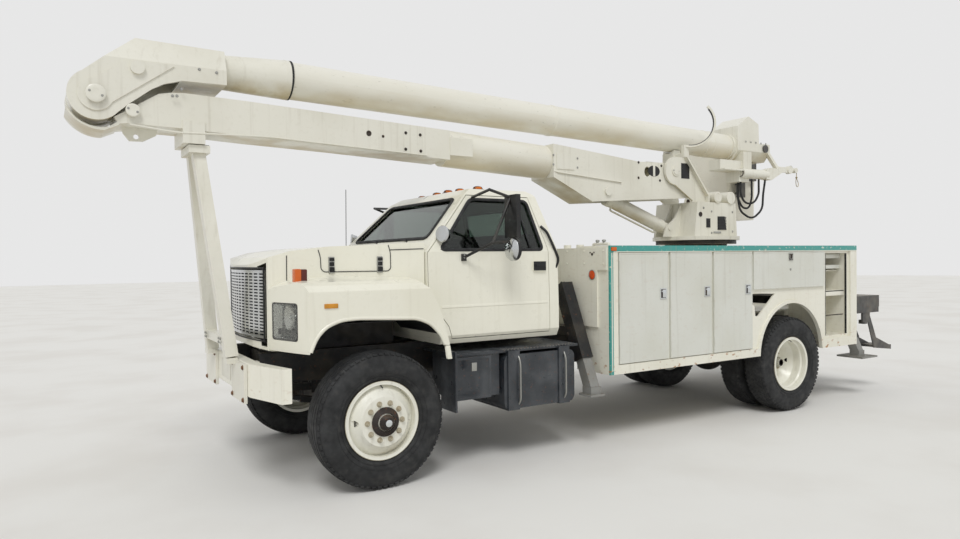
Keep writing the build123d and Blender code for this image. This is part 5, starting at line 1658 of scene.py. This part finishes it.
@dataclass(frozen=True)
class Running:
    """Tank straps, tread bars, outrigger hoses, tow hooks and deck fittings."""

    tread: tuple[float, float] = (-1.925, -1.155)

    def build(self, kit: Repeater, paint: Palette) -> None:
        """Makes the fittings on the frame.

        Args:
            kit: Sets the repeated items.
            paint: The finishes.
        """
        piece = Piece("running_gear_trim", "chassis")
        self.boxes(piece, kit, paint)
        self.front(piece, kit, paint)
        self.rear(piece, kit, paint)
        self.outriggers(piece, kit, paint)
        piece.done()

    def boxes(self, piece: Piece, kit: Repeater, paint: Palette) -> None:
        """Adds the straps, the step's tread and the battery box's hem.

        Args:
            piece: The piece to add to.
            kit: Sets the repeated items.
            paint: The finishes.
        """
        for x in (-1.80, -1.30):
            strap = [at(x, 0.72, 0.474), at(x, 1.082, 0.474), at(x, 1.1265, 0.53), at(x, 1.1265, 0.86),
                     at(x, 1.08, 0.934)]
            piece.both(piped(strap, 0.008, 0.06, 8), paint.zinc)
        slots = [Spot(at(x, y, 0.972), Vector((0, 0, 1)), Vector((1, 0, 0)))
                 for x in (self.tread[0] + 0.035 * i for i in range(23)) for y in (1.015, 1.055, 1.095)]
        slots += [Spot(s.place * 1.0 - Vector((0, 2 * s.place.y, 0)), s.up, s.ahead) for s in slots]
        tooth = turned([(-0.002, 0.0), (-0.002, 0.010), (0.003, 0.008), (0.0035, 0.004), (0.001, 0.0)],
                       Vector(),
                       Vector((0, 0, 1)), 10)
        piece.take(kit.make(tooth, slots, paint.shelf), paint.shelf)
        piece.both(soften(border(-0.995, -0.655, 0.596, 0.945, 0.018, 1.1295, 1.1325), 0.001, 1),
                   paint.tank)
        piece.both(block(at(-0.85, 1.130, 0.83), at(-0.80, 1.142, 0.90), 0.004), paint.zinc)

    def front(self, piece: Piece, kit: Repeater, paint: Palette) -> None:
        """Adds the bumper's bolts and the bracket's bolts.

        Args:
            piece: The piece to add to.
            kit: Sets the repeated items.
            paint: The finishes.
        """
        ahead = Vector((1, 0, 0))
        feet = [Spot(at(0.9300, s * y, z), ahead) for s in (-1, 1) for y in (0.33, 0.68)
                for z in (0.715, 0.96)]
        piece.bolts(kit, feet, paint.rusty, 0.015, 0.012)
        knees = [Spot(at(1.0 + 0.011, s * y, z), ahead) for s in (-1, 1) for y in (0.30, 0.24)
                 for z in (1.12, 1.15)]
        piece.bolts(kit, knees, paint.zinc, 0.009, 0.008)
        piece.take(block(at(0.9055, -0.16, 0.79), at(0.9095, 0.16, 0.94), 0.002), paint.boom)
        piece.take(block(at(1.045, -0.178, 2.684), at(1.195, 0.178, 2.6895), 0.003), paint.seal)

    def rear(self, piece: Piece, kit: Repeater, paint: Palette) -> None:
        """Adds the shelf's bolts, its rubber edge, the hitch's jaw and the blank plate.

        Args:
            piece: The piece to add to.
            kit: Sets the repeated items.
            paint: The finishes.
        """
        back = Vector((-1, 0, 0))
        rail = [Spot(at(-6.9105, y, 1.165), back) for y in (-1.0, -0.75, -0.5, -0.25, 0.0, 0.25, 0.5, 0.75,
                                                            1.0)]
        piece.bolts(kit, rail, paint.cast, 0.011, 0.009)
        piece.take(block(at(-6.9195, -1.12, 1.095), at(-6.909, 1.12, 1.115), 0.003), paint.seal)
        jaw = [at(-7.03, 0, 0.94), at(-7.08, 0, 0.935), at(-7.10, 0, 0.90), at(-7.075, 0, 0.865),
               at(-7.03, 0, 0.86)]
        piece.take(piped(jaw, 0.018, 0.03), paint.cast)
        piece.take(block(at(-6.915, -0.90, 0.86), at(-6.910, -0.58, 1.01), 0.002), paint.door)
        treads = [Spot(at(-7.02 - 0.03 * i, 0.845 + 0.035 * j, 0.575), Vector((0, 0, 1)),
                       Vector((1, 0.6, 0)))
                  for i in range(8) for j in range(7)]
        piece.take(kit.make(block_about((0.011, 0.003, 0.002)), treads, paint.shelf, 0.0), paint.shelf)

    def outriggers(self, piece: Piece, kit: Repeater, paint: Palette) -> None:
        """Adds the hoses and the bolts on the outriggers' housings.

        Args:
            piece: The piece to add to.
            kit: Sets the repeated items.
            paint: The finishes.
        """
        for y, finish in ((0.575, paint.hose), (0.61, paint.hose)):
            line = [at(-2.19, y, 1.52), at(-2.21, y + 0.02, 1.46), at(-2.215, y + 0.05, 1.32),
                    at(-2.205, y + 0.02, 1.16)]
            piece.both(piped(line, 0.011, 0.06), finish)
        bolts = [Spot(at(-2.0235, s * y, z), Vector((1, 0, 0))) for s in (-1, 1)
                 for y, z in ((0.74, 1.36), (0.81, 1.20), (0.88, 1.04))]
        piece.bolts(kit, bolts, paint.cast, 0.012, 0.010)


@dataclass(frozen=True)
class Turntable:
    """Bearing bolts, vents, pin caps, gearbox ends and the padded arc of the turret."""

    pin: Flat = (-4.180, 2.770)
    arm_turn: float = 40.0
    arm_foot: Place = (-4.390, 0.210, 0.0)
    arm_arc: Place = (0.0632, 3.3488, 0.2650)

    def build(self, kit: Repeater, paint: Palette) -> None:
        """Makes the turret's piece and the bearing's fixed bolts.

        Args:
            kit: Sets the repeated items.
            paint: The finishes.
        """
        left = Vector((0, 1, 0))
        fixed = Piece("bearing_bolts", "chassis")
        bolts = around(at(-4.79, 0, 1.862), Vector((0, 0, -1)), 0.345, 28)
        fixed.bolts(kit, bolts, paint.cast, 0.015, 0.014)
        ring = [(-0.0005, 0.3705), (-0.0005, 0.3740), (0.0295, 0.3740), (0.0295, 0.3705)]
        fixed.take(turned(ring, at(-4.79, 0, 1.875), Vector((0, 0, 1)), 72, True), paint.chassis)
        fixed.done()
        piece = Piece("turret_trim", "turret")
        race = [(-0.0005, 0.4805), (-0.0005, 0.4845), (0.0470, 0.4845), (0.0470, 0.4805)]
        piece.take(turned(race, at(-4.79, 0, 1.9065), Vector((0, 0, 1)), 96, True), paint.chassis)
        piece.take(self.arm_pad(), paint.seal)
        for hand in (LEFT, RIGHT):
            side = left * hand
            cap = [(0.0, 0.063), (0.006, 0.062), (0.011, 0.056), (0.012, 0.0)]
            piece.take(turned(cap, at(self.pin[0], hand * 0.243, self.pin[1]), side, 36), paint.boom)
            spots = around(at(self.pin[0], hand * 0.254, self.pin[1]), side, 0.040, 2, 40)
            piece.bolts(kit, spots, paint.zinc, 0.008, 0.007)
            for x, z, y in ((-4.80, 2.474, 0.331), (-5.035, 2.474, 0.331)):
                ring = [(0, 0.034), (0, 0.062), (0.014, 0.060), (0.018, 0.050), (0.012, 0.036)]
                piece.take(turned(ring, at(x, hand * y, z), side, 32, True), paint.boom)
                piece.take(turned([(0, 0.035), (0.005, 0.034), (0.006, 0.0)], at(x, hand * y, z), side, 24),
                           paint.cast)
            plate = [(AXLE + x, z) for x, z in ((-4.274, 2.686), (-4.274, 2.867), (-4.413, 2.867),
                                                (-4.413, 2.686))]
            y0, y1 = sorted((hand * 0.2425, hand * 0.2465))
            piece.take(pushed(plate, Along.Y, y0, y1, 0.001), paint.trim)
        y0, y1 = 0.3295, 0.333
        for corners in (((-4.604, 2.104), (-4.604, 2.214), (-4.676, 2.214), (-4.676, 2.104)),
                        ((-4.806, 2.077), (-4.806, 2.241), (-4.930, 2.244), (-4.968, 2.079))):
            piece.both(pushed([(AXLE + x, z) for x, z in corners], Along.Y, y0, y1), paint.trim)
            xs, zs = [c[0] for c in corners], [c[1] for c in corners]
            count = int((max(zs) - min(zs)) / 0.017)
            for k in range(count):
                z = min(zs) + (k + 0.5) * (max(zs) - min(zs)) / count
                louvre = [(y1 - 0.002, z - 0.004), (y1 + 0.006, z - 0.006), (y1 + 0.005, z - 0.003),
                          (y1, z + 0.004)]
                piece.both(pushed(louvre, Along.X, AXLE + min(xs) + 0.008, AXLE + max(xs) - 0.004),
                           paint.trim)
        piece.both(block(at(-4.862, 0.329, 2.034), at(-4.732, 0.337, 2.057), 0.002), paint.zinc)
        edge = [Spot(at(x, s * 0.331, z), left * s) for s in (-1, 1)
                for x, z in ((-4.70, 2.30), (-4.70, 2.04), (-5.08, 2.30), (-5.08, 2.06), (-4.56, 2.34))]
        piece.bolts(kit, edge, paint.zinc, 0.010, 0.008)
        piece.take(turned([(0, 0.03), (0.004, 0.029), (0.001, 0.02), (0.001, 0)], at(-4.503, 0.331, 2.26),
                          left, 24),
                   paint.cast)
        piece.done()

    def arm_pad(self) -> bmesh.types.BMesh:
        """Rubber strip along the inner side of the open hold-down arm.

        Returns:
            The mesh.
        """
        turn = math.radians(self.arm_turn)
        ahead = Vector((-math.cos(turn), math.sin(turn), 0))
        side = Vector((math.sin(turn), math.cos(turn), 0))
        foot = at(*self.arm_foot)
        forward, up, radius = self.arm_arc
        loops = []
        for step in range(19):
            angle = math.radians(-96 + 7.5 * step)
            loops.append([foot + ahead * (forward + r * math.cos(angle)) + side * w
                          + Vector((0, 0, up + r * math.sin(angle)))
                          for r, w in ((radius, -0.022), (radius, 0.022), (radius - 0.008, 0.022),
                                       (radius - 0.008, -0.022))])
        return rings(loops, False, True)


TUBE_RISE = 0.0283  # how much the upper boom's tube rises for each metre forward


@dataclass(frozen=True)
class Booms:
    """Pin caps, bolts, collars, clamps and pipes of the two booms and the lift cylinder."""

    elbow: Flat = (1.843, 2.996)

    def build(self, kit: Repeater, paint: Palette) -> None:
        """Makes the pieces of each boom, the elbow and the cylinder.

        Args:
            kit: Sets the repeated items.
            paint: The finishes.
        """
        self.lower(kit, paint)
        self.upper(kit, paint)
        self.cylinder(paint)

    def bolted(self, piece: Piece, kit: Repeater, finish: Mat, y: float, places: tuple[Flat, ...],
               radius: float = 0.010) -> None:
        """Adds bolts to both sides of a boom.

        Args:
            piece: The piece to add to.
            kit: Sets the repeated items.
            finish: The bolts' finish.
            y: How far out the boom's side stands.
            places: Forward and up of each bolt.
            radius: The bolts' size to a corner.
        """
        spots = [Spot(at(x, s * y, z), Vector((0, s, 0))) for s in (-1, 1) for x, z in places]
        piece.bolts(kit, spots, finish, radius, radius * 0.8)

    def cap(self, piece: Piece, x: float, z: float, y: float, radius: float, paint: Palette,
            kit: Repeater) -> None:
        """Adds a pin's cap with its two bolts, on both sides.

        Args:
            piece: The piece to add to.
            x: Forward of the front axle.
            z: Up.
            y: How far out the side stands.
            radius: The cap's radius.
            paint: The finishes.
            kit: Sets the repeated items.
        """
        disc = [(-0.001, radius), (0.006, radius), (0.010, radius * 0.88), (0.0095, radius * 0.45),
                (0.006, 0.0)]
        for s in (-1, 1):
            out = Vector((0, s, 0))
            piece.take(turned(disc, at(x, s * y, z), out, 36), paint.boom)
            spots = around(at(x, s * (y + 0.009), z), out, radius * 0.66, 2, 25)
            piece.bolts(kit, spots, paint.zinc, 0.007, 0.006)

    def lower(self, kit: Repeater, paint: Palette) -> None:
        """Makes the lower boom's piece.

        Args:
            kit: Sets the repeated items.
            paint: The finishes.
        """
        piece = Piece("lower_boom_trim", "lower_boom")
        self.bolted(piece, kit, paint.cast, 0.2005, ((-0.682, 2.93), (-0.831, 2.923), (-0.679, 2.779),
                                                     (-0.835, 2.773),
                                                     (-3.624, 2.841), (-3.623, 2.664), (-3.989, 2.823),
                                                     (-3.965, 2.65)),
                    0.011)
        self.bolted(piece, kit, paint.zinc, 0.2005, ((-1.316, 2.866), (-1.315, 2.777), (-1.393, 2.866),
                                                     (-2.398, 2.842),
                                                     (-2.397, 2.744), (-2.542, 2.832), (-2.541, 2.738),
                                                     (-2.725, 2.827),
                                                     (-2.724, 2.729)), 0.009)
        self.cap(piece, -3.153, 2.491, 0.16, 0.048, paint, kit)
        oval = []
        for k in range(24):
            a = 2 * math.pi * k / 24
            oval.append((AXLE - 3.868 + 0.095 * math.cos(a), 2.7545 + 0.064 * math.sin(a)))
        piece.both(pushed(oval, Along.Y, 0.198, 0.2012), paint.trim)
        piece.both(block(at(-3.884, 0.200, 2.692), at(-3.852, 0.2065, 2.818), 0.002), paint.boom)
        for x, z, r in ((-0.317, 2.895, 0.016), (-0.454, 2.879, 0.010)):
            piece.both(turned([(0, r * 1.3), (0.003, r * 1.2), (0.0005, r * 0.8), (0.0005, 0)],
                              at(x, 0.2, z),
                              Vector((0, 1, 0)), 20), paint.cast)
        pipe = [at(-3.35, 0.209, 2.60), at(-2.45, 0.209, 2.665), at(-2.40, 0.196, 2.68)]
        piece.both(piped(pipe, 0.008, 0.05, 8), paint.boom)
        wires = [at(1.62, 0.212, 2.80), at(1.30, 0.212, 2.765), at(0.6, 0.208, 2.79),
                 at(-0.9, 0.208, 2.735)]
        piece.take(piped(wires, 0.007, 0.08, 8), paint.boom)
        piece.done()

    def upper(self, kit: Repeater, paint: Palette) -> None:
        """Makes the pieces on the upper boom, with the tip.

        Args:
            kit: Sets the repeated items.
            paint: The finishes.
        """
        piece = Piece("upper_boom_trim", "upper_boom")
        for x, z in ((1.563, 3.222), (1.598, 2.902)):
            self.cap(piece, x, z, 0.2355, 0.050, paint, kit)
        self.cap(piece, self.elbow[0], self.elbow[1], 0.271, 0.066, paint, kit)
        self.bolted(piece, kit, paint.zinc, 0.2355, ((1.319, 3.04), (1.288, 3.043), (1.254, 3.10),
                                                     (1.121, 3.27),
                                                     (0.991, 3.26)), 0.009)
        for x0, x1, finish in ((0.372, 0.400, paint.boom), (0.342, 0.358, paint.seal)):
            slope = TUBE_RISE * (x0 + 5.400)
            ring = [(0.0, 0.159), (0.0, 0.168), (x1 - x0, 0.168), (x1 - x0, 0.159)]
            piece.take(turned(ring, at(x0, 0, 3.165 + slope), Vector((1, 0, TUBE_RISE)), 56, True), finish)
        for x in (-5.02, -4.90, -2.52):
            ring = [(0.0, 0.1595), (0.004, 0.1665), (0.030, 0.1665), (0.034, 0.1595)]
            piece.take(turned(ring, at(x, 0, 3.165 + TUBE_RISE * (x + 5.4)), Vector((1, 0, TUBE_RISE)), 56,
                              True),
                       paint.fibre)
        self.tip(piece, kit, paint)
        piece.done()

    def tip(self, piece: Piece, kit: Repeater, paint: Palette) -> None:
        """Adds the bolts, the cover's edge and the hose ends of the tip.

        Args:
            piece: The piece to add to.
            kit: Sets the repeated items.
            paint: The finishes.
        """
        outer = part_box("boom_tip")[1].y
        edge = [Spot(at(x, s * 0.2115, 3.222), Vector((0, s, 0))) for s in (-1, 1)
                for x in (-5.50, -5.60, -5.70, -5.80, -5.90)]
        piece.bolts(kit, edge, paint.zinc, 0.009, 0.007)
        self.cap(piece, -5.880, 3.153, 0.2105, 0.040, paint, kit)
        for x, z in ((-5.42, 2.806), (-6.365, 2.915)):
            out = Vector((0, 1, 0))
            disc = [(-0.001, 0.045), (0.006, 0.044), (0.008, 0.030), (0.003, 0.026), (0.003, 0.0)]
            piece.take(turned(disc, at(x, outer - 0.06 if z > 2.85 else 0.2105, z), out, 28), paint.zinc)
        bore = [(0.0, 0.036), (0.0, 0.046), (0.006, 0.045), (0.006, 0.037)]
        piece.take(turned(bore, at(-5.345, 0.25, 2.806), Vector((1, 0, 0)), 28, True), paint.cast)

    def cylinder(self, paint: Palette) -> None:
        """Makes the lift cylinder's gland and its pipe.

        Args:
            paint: The finishes.
        """
        base, eye = at(-4.250, 0, 2.100), at(-3.153, 0, 2.490)
        axis = (eye - base).normalized()
        barrel = Piece("lift_barrel_trim", "lift_barrel")
        gland = [(0.0, 0.079), (0.0, 0.086), (0.055, 0.086), (0.062, 0.080), (0.062, 0.060), (0.050, 0.058)]
        barrel.take(turned(gland, base + axis * 0.945, axis, 44, True), paint.boom)
        up = axis.cross(Vector((0, 1, 0))) * -1
        line = [base + axis * 0.16 + up * 0.078, base + axis * 0.16 + up * 0.112,
                base + axis * 0.90 + up * 0.112,
                base + axis * 0.90 + up * 0.078]
        barrel.take(piped(line, 0.011, 0.03), paint.boom)
        barrel.done()


@dataclass(frozen=True)
class WinchLine:
    """Free end of the winch's line with its stopper knot under the sheave."""

    exit: Place = (-6.499, 0.250, 2.895)
    route: tuple[Place, ...] = ((-6.499, 0.250, 2.895), (-6.499, 0.250, 2.850), (-6.496, 0.251, 2.806),
                                (-6.473, 0.258, 2.768), (-6.468, 0.261, 2.724), (-6.484, 0.260, 2.684),
                                (-6.522, 0.256, 2.682), (-6.541, 0.250, 2.720), (-6.535, 0.244, 2.764),
                                (-6.512, 0.239, 2.800))
    knot: Place = (-6.504, 0.245, 2.804)
    diameter: float = 0.0085
    length: float = 0.377

    def build(self, paint: Palette) -> None:
        """Makes the line and its knot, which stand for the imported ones.

        Args:
            paint: The finishes.
        """
        curve = bpy.data.curves.new("winch_line_rope", "CURVE")
        curve.dimensions = "3D"
        spline = curve.splines.new("NURBS")
        spline.points.add(len(self.route) - 1)
        for point, place in zip(spline.points, self.route):
            point.co = (*at(*place), 1.0)
        spline.order_u = 3
        spline.use_endpoint_u = True
        spline.resolution_u = 8
        curve.bevel_depth = self.diameter / 2
        curve.bevel_resolution = 4
        curve.use_fill_caps = True
        curve.materials.append(paint.rope)
        line = bpy.data.objects.new("winch_line_rope", curve)
        bpy.context.scene.collection.objects.link(line)
        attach(line, "upper_boom")
        knot = Piece("winch_line_knot", "upper_boom", "line_rope")
        centre = at(*self.knot)
        for lean in (0.0, 1.05, 2.1):
            loop = []
            for k in range(25):
                a = 2 * math.pi * k / 24
                spot = Vector((math.cos(a) * 0.0095, math.sin(a) * 0.0075 * math.cos(lean) + 0.002,
                               math.sin(a) * 0.0085 + math.sin(lean) * 0.004))
                loop.append(centre + Matrix.Rotation(lean, 3, "Z") @ spot)
            knot.take(piped(loop, self.diameter * 0.45, 0.0, 8), paint.rope)
        knot.done()
        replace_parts(line, "winch_line")


@dataclass(frozen=True)
class BucketTrim:
    """Rolled lip and side bolts of the bucket."""

    def build(self, kit: Repeater, paint: Palette) -> None:
        """Makes the bucket's piece.

        Args:
            kit: Sets the repeated items.
            paint: The finishes.
        """
        low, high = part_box("bucket")
        piece = Piece("bucket_trim", "bucket")
        inward = 0.012
        top = high[2] - 0.016
        corners = [Vector((low[0] + inward, low[1] + inward, top)),
                   Vector((high[0] - inward, low[1] + inward, top)),
                   Vector((high[0] - inward, high[1] - inward, top)),
                   Vector((low[0] + inward, high[1] - inward, top))]
        piece.take(seal(corners, 0.016, 0.07), paint.bucket)
        spots = [Spot(Vector((x, high[1] + 0.0005, z)), Vector((0, 1, 0)))
                 for x in (low[0] + 0.14, high[0] - 0.14)
                 for z in (2.62, 2.75)]
        piece.bolts(kit, spots, paint.zinc, 0.012, 0.010)
        piece.done()


@dataclass(frozen=True)
class Seats:
    """Vinyl bench with crowned, channelled cushions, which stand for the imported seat."""

    width: float = 0.815

    def build(self, kit: Repeater, paint: Palette) -> None:
        """Makes both pads and their base.

        Args:
            kit: Sets the repeated items; not used.
            paint: The finishes.
        """
        low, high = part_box("cab_seat")
        x0, x1, z0, z1 = low[0], high[0], low[2], high[2]
        cushion = self.pad(Vector((x0 + 0.12, -self.width, z0 + 0.03)),
                           Vector((x1 - 0.005, self.width, z0 + 0.185)))
        back = self.pad(Vector((x0 + 0.012, -self.width, z0 + 0.16)),
                        Vector((x0 + 0.145, self.width, z1 - 0.008)))
        seat = Piece("cab_seat_pads", "chassis", "seat_vinyl")
        seat.take(cushion, paint.vinyl)
        seat.take(back, paint.vinyl)
        pads = seat.done(80)
        base = Piece("cab_seat_base", "chassis")
        base.take(block(Vector((x0 + 0.13, -self.width + 0.03, z0 + 0.001)),
                        Vector((x1 - 0.03, self.width - 0.03, z0 + 0.05)), 0.006), paint.trim)
        base.done()
        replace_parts(pads, "cab_seat")

    def pad(self, low: Vector, high: Vector) -> bmesh.types.BMesh:
        """Crowned pad with sewn channels across it.

        Args:
            low: Lowest corner.
            high: Highest corner.

        Returns:
            The mesh.
        """
        shape = block(low, high, 0.0)
        bmesh.ops.subdivide_edges(shape, edges=shape.edges, cuts=23, use_grid_fill=True)
        middle, half = (low + high) / 2, (high - low) / 2
        for vert in shape.verts:
            out = vert.co - middle
            share = [out[i] / half[i] for i in range(3)]
            for i in range(3):
                j, k = (i + 1) % 3, (i + 2) % 3
                fall = (share[j] ** 4 + share[k] ** 4) / 2
                vert.co[i] = middle[i] + out[i] * (1.0 - min(0.35, 0.028 / half[i]) * fall)
            seam = abs(math.sin(math.pi * out.y / 0.135))
            dip = 0.006 * max(0.0, 1.0 - seam * 5)
            thin = 0 if half.x < half.z else 2
            vert.co[thin] -= math.copysign(dip, out[thin])
        bmesh.ops.recalc_face_normals(shape, faces=shape.faces)
        return shape


# Light and view


@dataclass(frozen=True)
class Studio:
    """Pale floor, soft light and the camera at the photograph's angle."""

    eye: Place = (4.801, 6.114, 1.761)
    yaw: float = -121.775
    pitch: float = -0.900
    roll: float = 0.637
    focal_px: float = 704.88
    frame_px: float = 960.0
    sensor: float = 36.0
    floor: str = "#E9E8E4"
    sky: float = 0.72
    sun: float = 1.35
    sun_from: Place = (0.55, 0.85, 1.25)
    sun_spread: float = 22.0

    def build(self) -> None:
        """Makes the floor, lamp, world and camera."""
        self.camera()
        self.ground()
        self.lamp()
        self.world()
        bpy.context.scene.view_settings.view_transform = "Standard"

    def camera(self) -> None:
        """Places the camera by its yaw, pitch and roll."""
        yaw, pitch, roll = (math.radians(a) for a in (self.yaw, self.pitch, self.roll))
        ahead = Vector((math.cos(pitch) * math.cos(yaw), math.cos(pitch) * math.sin(yaw), math.sin(pitch)))
        level = Vector((math.sin(yaw), -math.cos(yaw), 0))
        down = ahead.cross(level)
        right = level * math.cos(roll) + down * math.sin(roll)
        below = down * math.cos(roll) - level * math.sin(roll)
        lens = bpy.data.cameras.new("view")
        lens.sensor_width = self.sensor
        lens.lens = self.focal_px / self.frame_px * self.sensor
        lens.clip_end = 200.0
        cam = bpy.data.objects.new("view", lens)
        turn = Matrix((right, -below, -ahead)).transposed().to_4x4()
        cam.matrix_world = Matrix.Translation(self.eye) @ turn
        bpy.context.scene.collection.objects.link(cam)
        bpy.context.scene.camera = cam

    def ground(self) -> None:
        """Lays the floor."""
        g = Graph("studio_floor")
        tone = g.over(linear(self.floor), "#E3E1DC", g.patches(1500, 0.4, 0.7))
        finish = g.close(Base_Color=tone, Roughness=0.9, IOR=1.45)
        floor = turned([(0, 0), (0, 60.0)], Vector((0, 0, -0.0045)), Vector((0, 0, 1)), 96)
        mesh = bpy.data.meshes.new("floor")
        floor.to_mesh(mesh)
        floor.free()
        mesh.materials.append(finish)
        obj = bpy.data.objects.new("floor", mesh)
        bpy.context.scene.collection.objects.link(obj)

    def lamp(self) -> None:
        """Hangs one broad lamp high on the driver's side."""
        light = bpy.data.lights.new("key", "SUN")
        light.energy = self.sun
        light.angle = math.radians(self.sun_spread)
        obj = bpy.data.objects.new("key", light)
        obj.rotation_euler = Vector(self.sun_from).to_track_quat("Z", "Y").to_euler()
        bpy.context.scene.collection.objects.link(obj)

    def world(self) -> None:
        """Lights all round evenly, and shows white behind the truck and in its gloss."""
        world = bpy.data.worlds.new("studio")
        bpy.context.scene.world = world
        world.use_nodes = True
        tree = world.node_tree
        tree.nodes.clear()
        rays = tree.nodes.new("ShaderNodeLightPath")
        near = tree.nodes.new("ShaderNodeMath")
        near.operation = "MAXIMUM"
        seen = tree.nodes.new("ShaderNodeMath")
        seen.operation = "MAXIMUM"
        strength = tree.nodes.new("ShaderNodeMapRange")
        strength.inputs["To Min"].default_value = self.sky
        strength.inputs["To Max"].default_value = 1.0
        back = tree.nodes.new("ShaderNodeBackground")
        out = tree.nodes.new("ShaderNodeOutputWorld")
        tree.links.new(rays.outputs["Is Camera Ray"], near.inputs[0])
        tree.links.new(rays.outputs["Is Glossy Ray"], near.inputs[1])
        tree.links.new(near.outputs[0], seen.inputs[0])
        tree.links.new(rays.outputs["Is Transmission Ray"], seen.inputs[1])
        tree.links.new(seen.outputs[0], strength.inputs["Value"])
        tree.links.new(strength.outputs[0], back.inputs["Strength"])
        tree.links.new(back.outputs[0], out.inputs["Surface"])


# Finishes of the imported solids


def dress_solids(nodes: dict[str, Obj], paint: Palette) -> None:
    """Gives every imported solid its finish.

    Args:
        nodes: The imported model's objects by name.
        paint: The finishes.
    """
    rules = (
        ("tyre_", paint.tyre), ("wheel_", paint.wheel), ("knuckle_", paint.cast),
             ("cab_door_glass", paint.glass),
        ("cab_glass", paint.glass), ("cab_door_", paint.cab), ("cab_shell", paint.cab),
             ("cab_seat", paint.vinyl),
        ("mirrors_", paint.frame), ("dashboard", paint.dash), ("hood", paint.cab), ("grille", paint.chrome),
        ("front_lamps", paint.clear), ("side_boxes", paint.tank), ("front_bumper", paint.bumper),
        ("boom_support", paint.boom), ("body_pack_", paint.body), ("locker_door_", paint.door),
        ("deck_and_pedestal", paint.body), ("tail_shelf", paint.shelf), ("body_lamps", paint.amber),
        ("turret", paint.boom), ("lower_boom_insert", paint.fibre), ("lower_boom", paint.boom),
        ("lift_cylinder_rod", paint.rod), ("lift_cylinder_barrel", paint.boom), ("elbow_pin", paint.boom),
        ("upper_boom_tube", paint.fibre), ("upper_boom_housing", paint.boom), ("boom_tip", paint.boom),
        ("bucket_mount", paint.shelf), ("bucket", paint.bucket), ("tip_hoses", paint.hose),
             ("winch_line", paint.rope),
        ("outrigger_leg_", paint.leg), ("", paint.chassis))
    for name, node in nodes.items():
        finish = next(m for start, m in rules if name.startswith(start))
        node.data.materials.clear()
        node.data.materials.append(finish)


def sub_assemblies() -> list:
    """Every sub-assembly in the order in which it is built.

    Returns:
        The sub-assemblies.
    """
    wheels = [wheel for hand in (LEFT, RIGHT) for wheel in
              (Wheel("front", hand, 0.0, (1.030,), 1.180, 1.190, 1.250, False),
               Wheel("rear", hand, -5.0, (1.075, 0.739), 0.913, 0.925, 1.054, True))]
    return wheels + [CabTrim(), FrontEnd(), UtilityBody(), BodyLamps(), Running(), Turntable(), Booms(),
                     BucketTrim(),
                     Seats()]


def main() -> None:
    """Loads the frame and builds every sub-assembly in order."""
    logging.basicConfig(level=logging.INFO, format="%(message)s")
    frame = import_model()
    paint = Palette()
    Studio().build()
    WinchLine().build(paint)
    dress_solids(frame["nodes"], paint)
    kit = Repeater("repeat")
    for part in sub_assemblies():
        part.build(kit, paint)
        LOG.info("built %s", type(part).__name__)


if __name__ == "__main__":
    main()
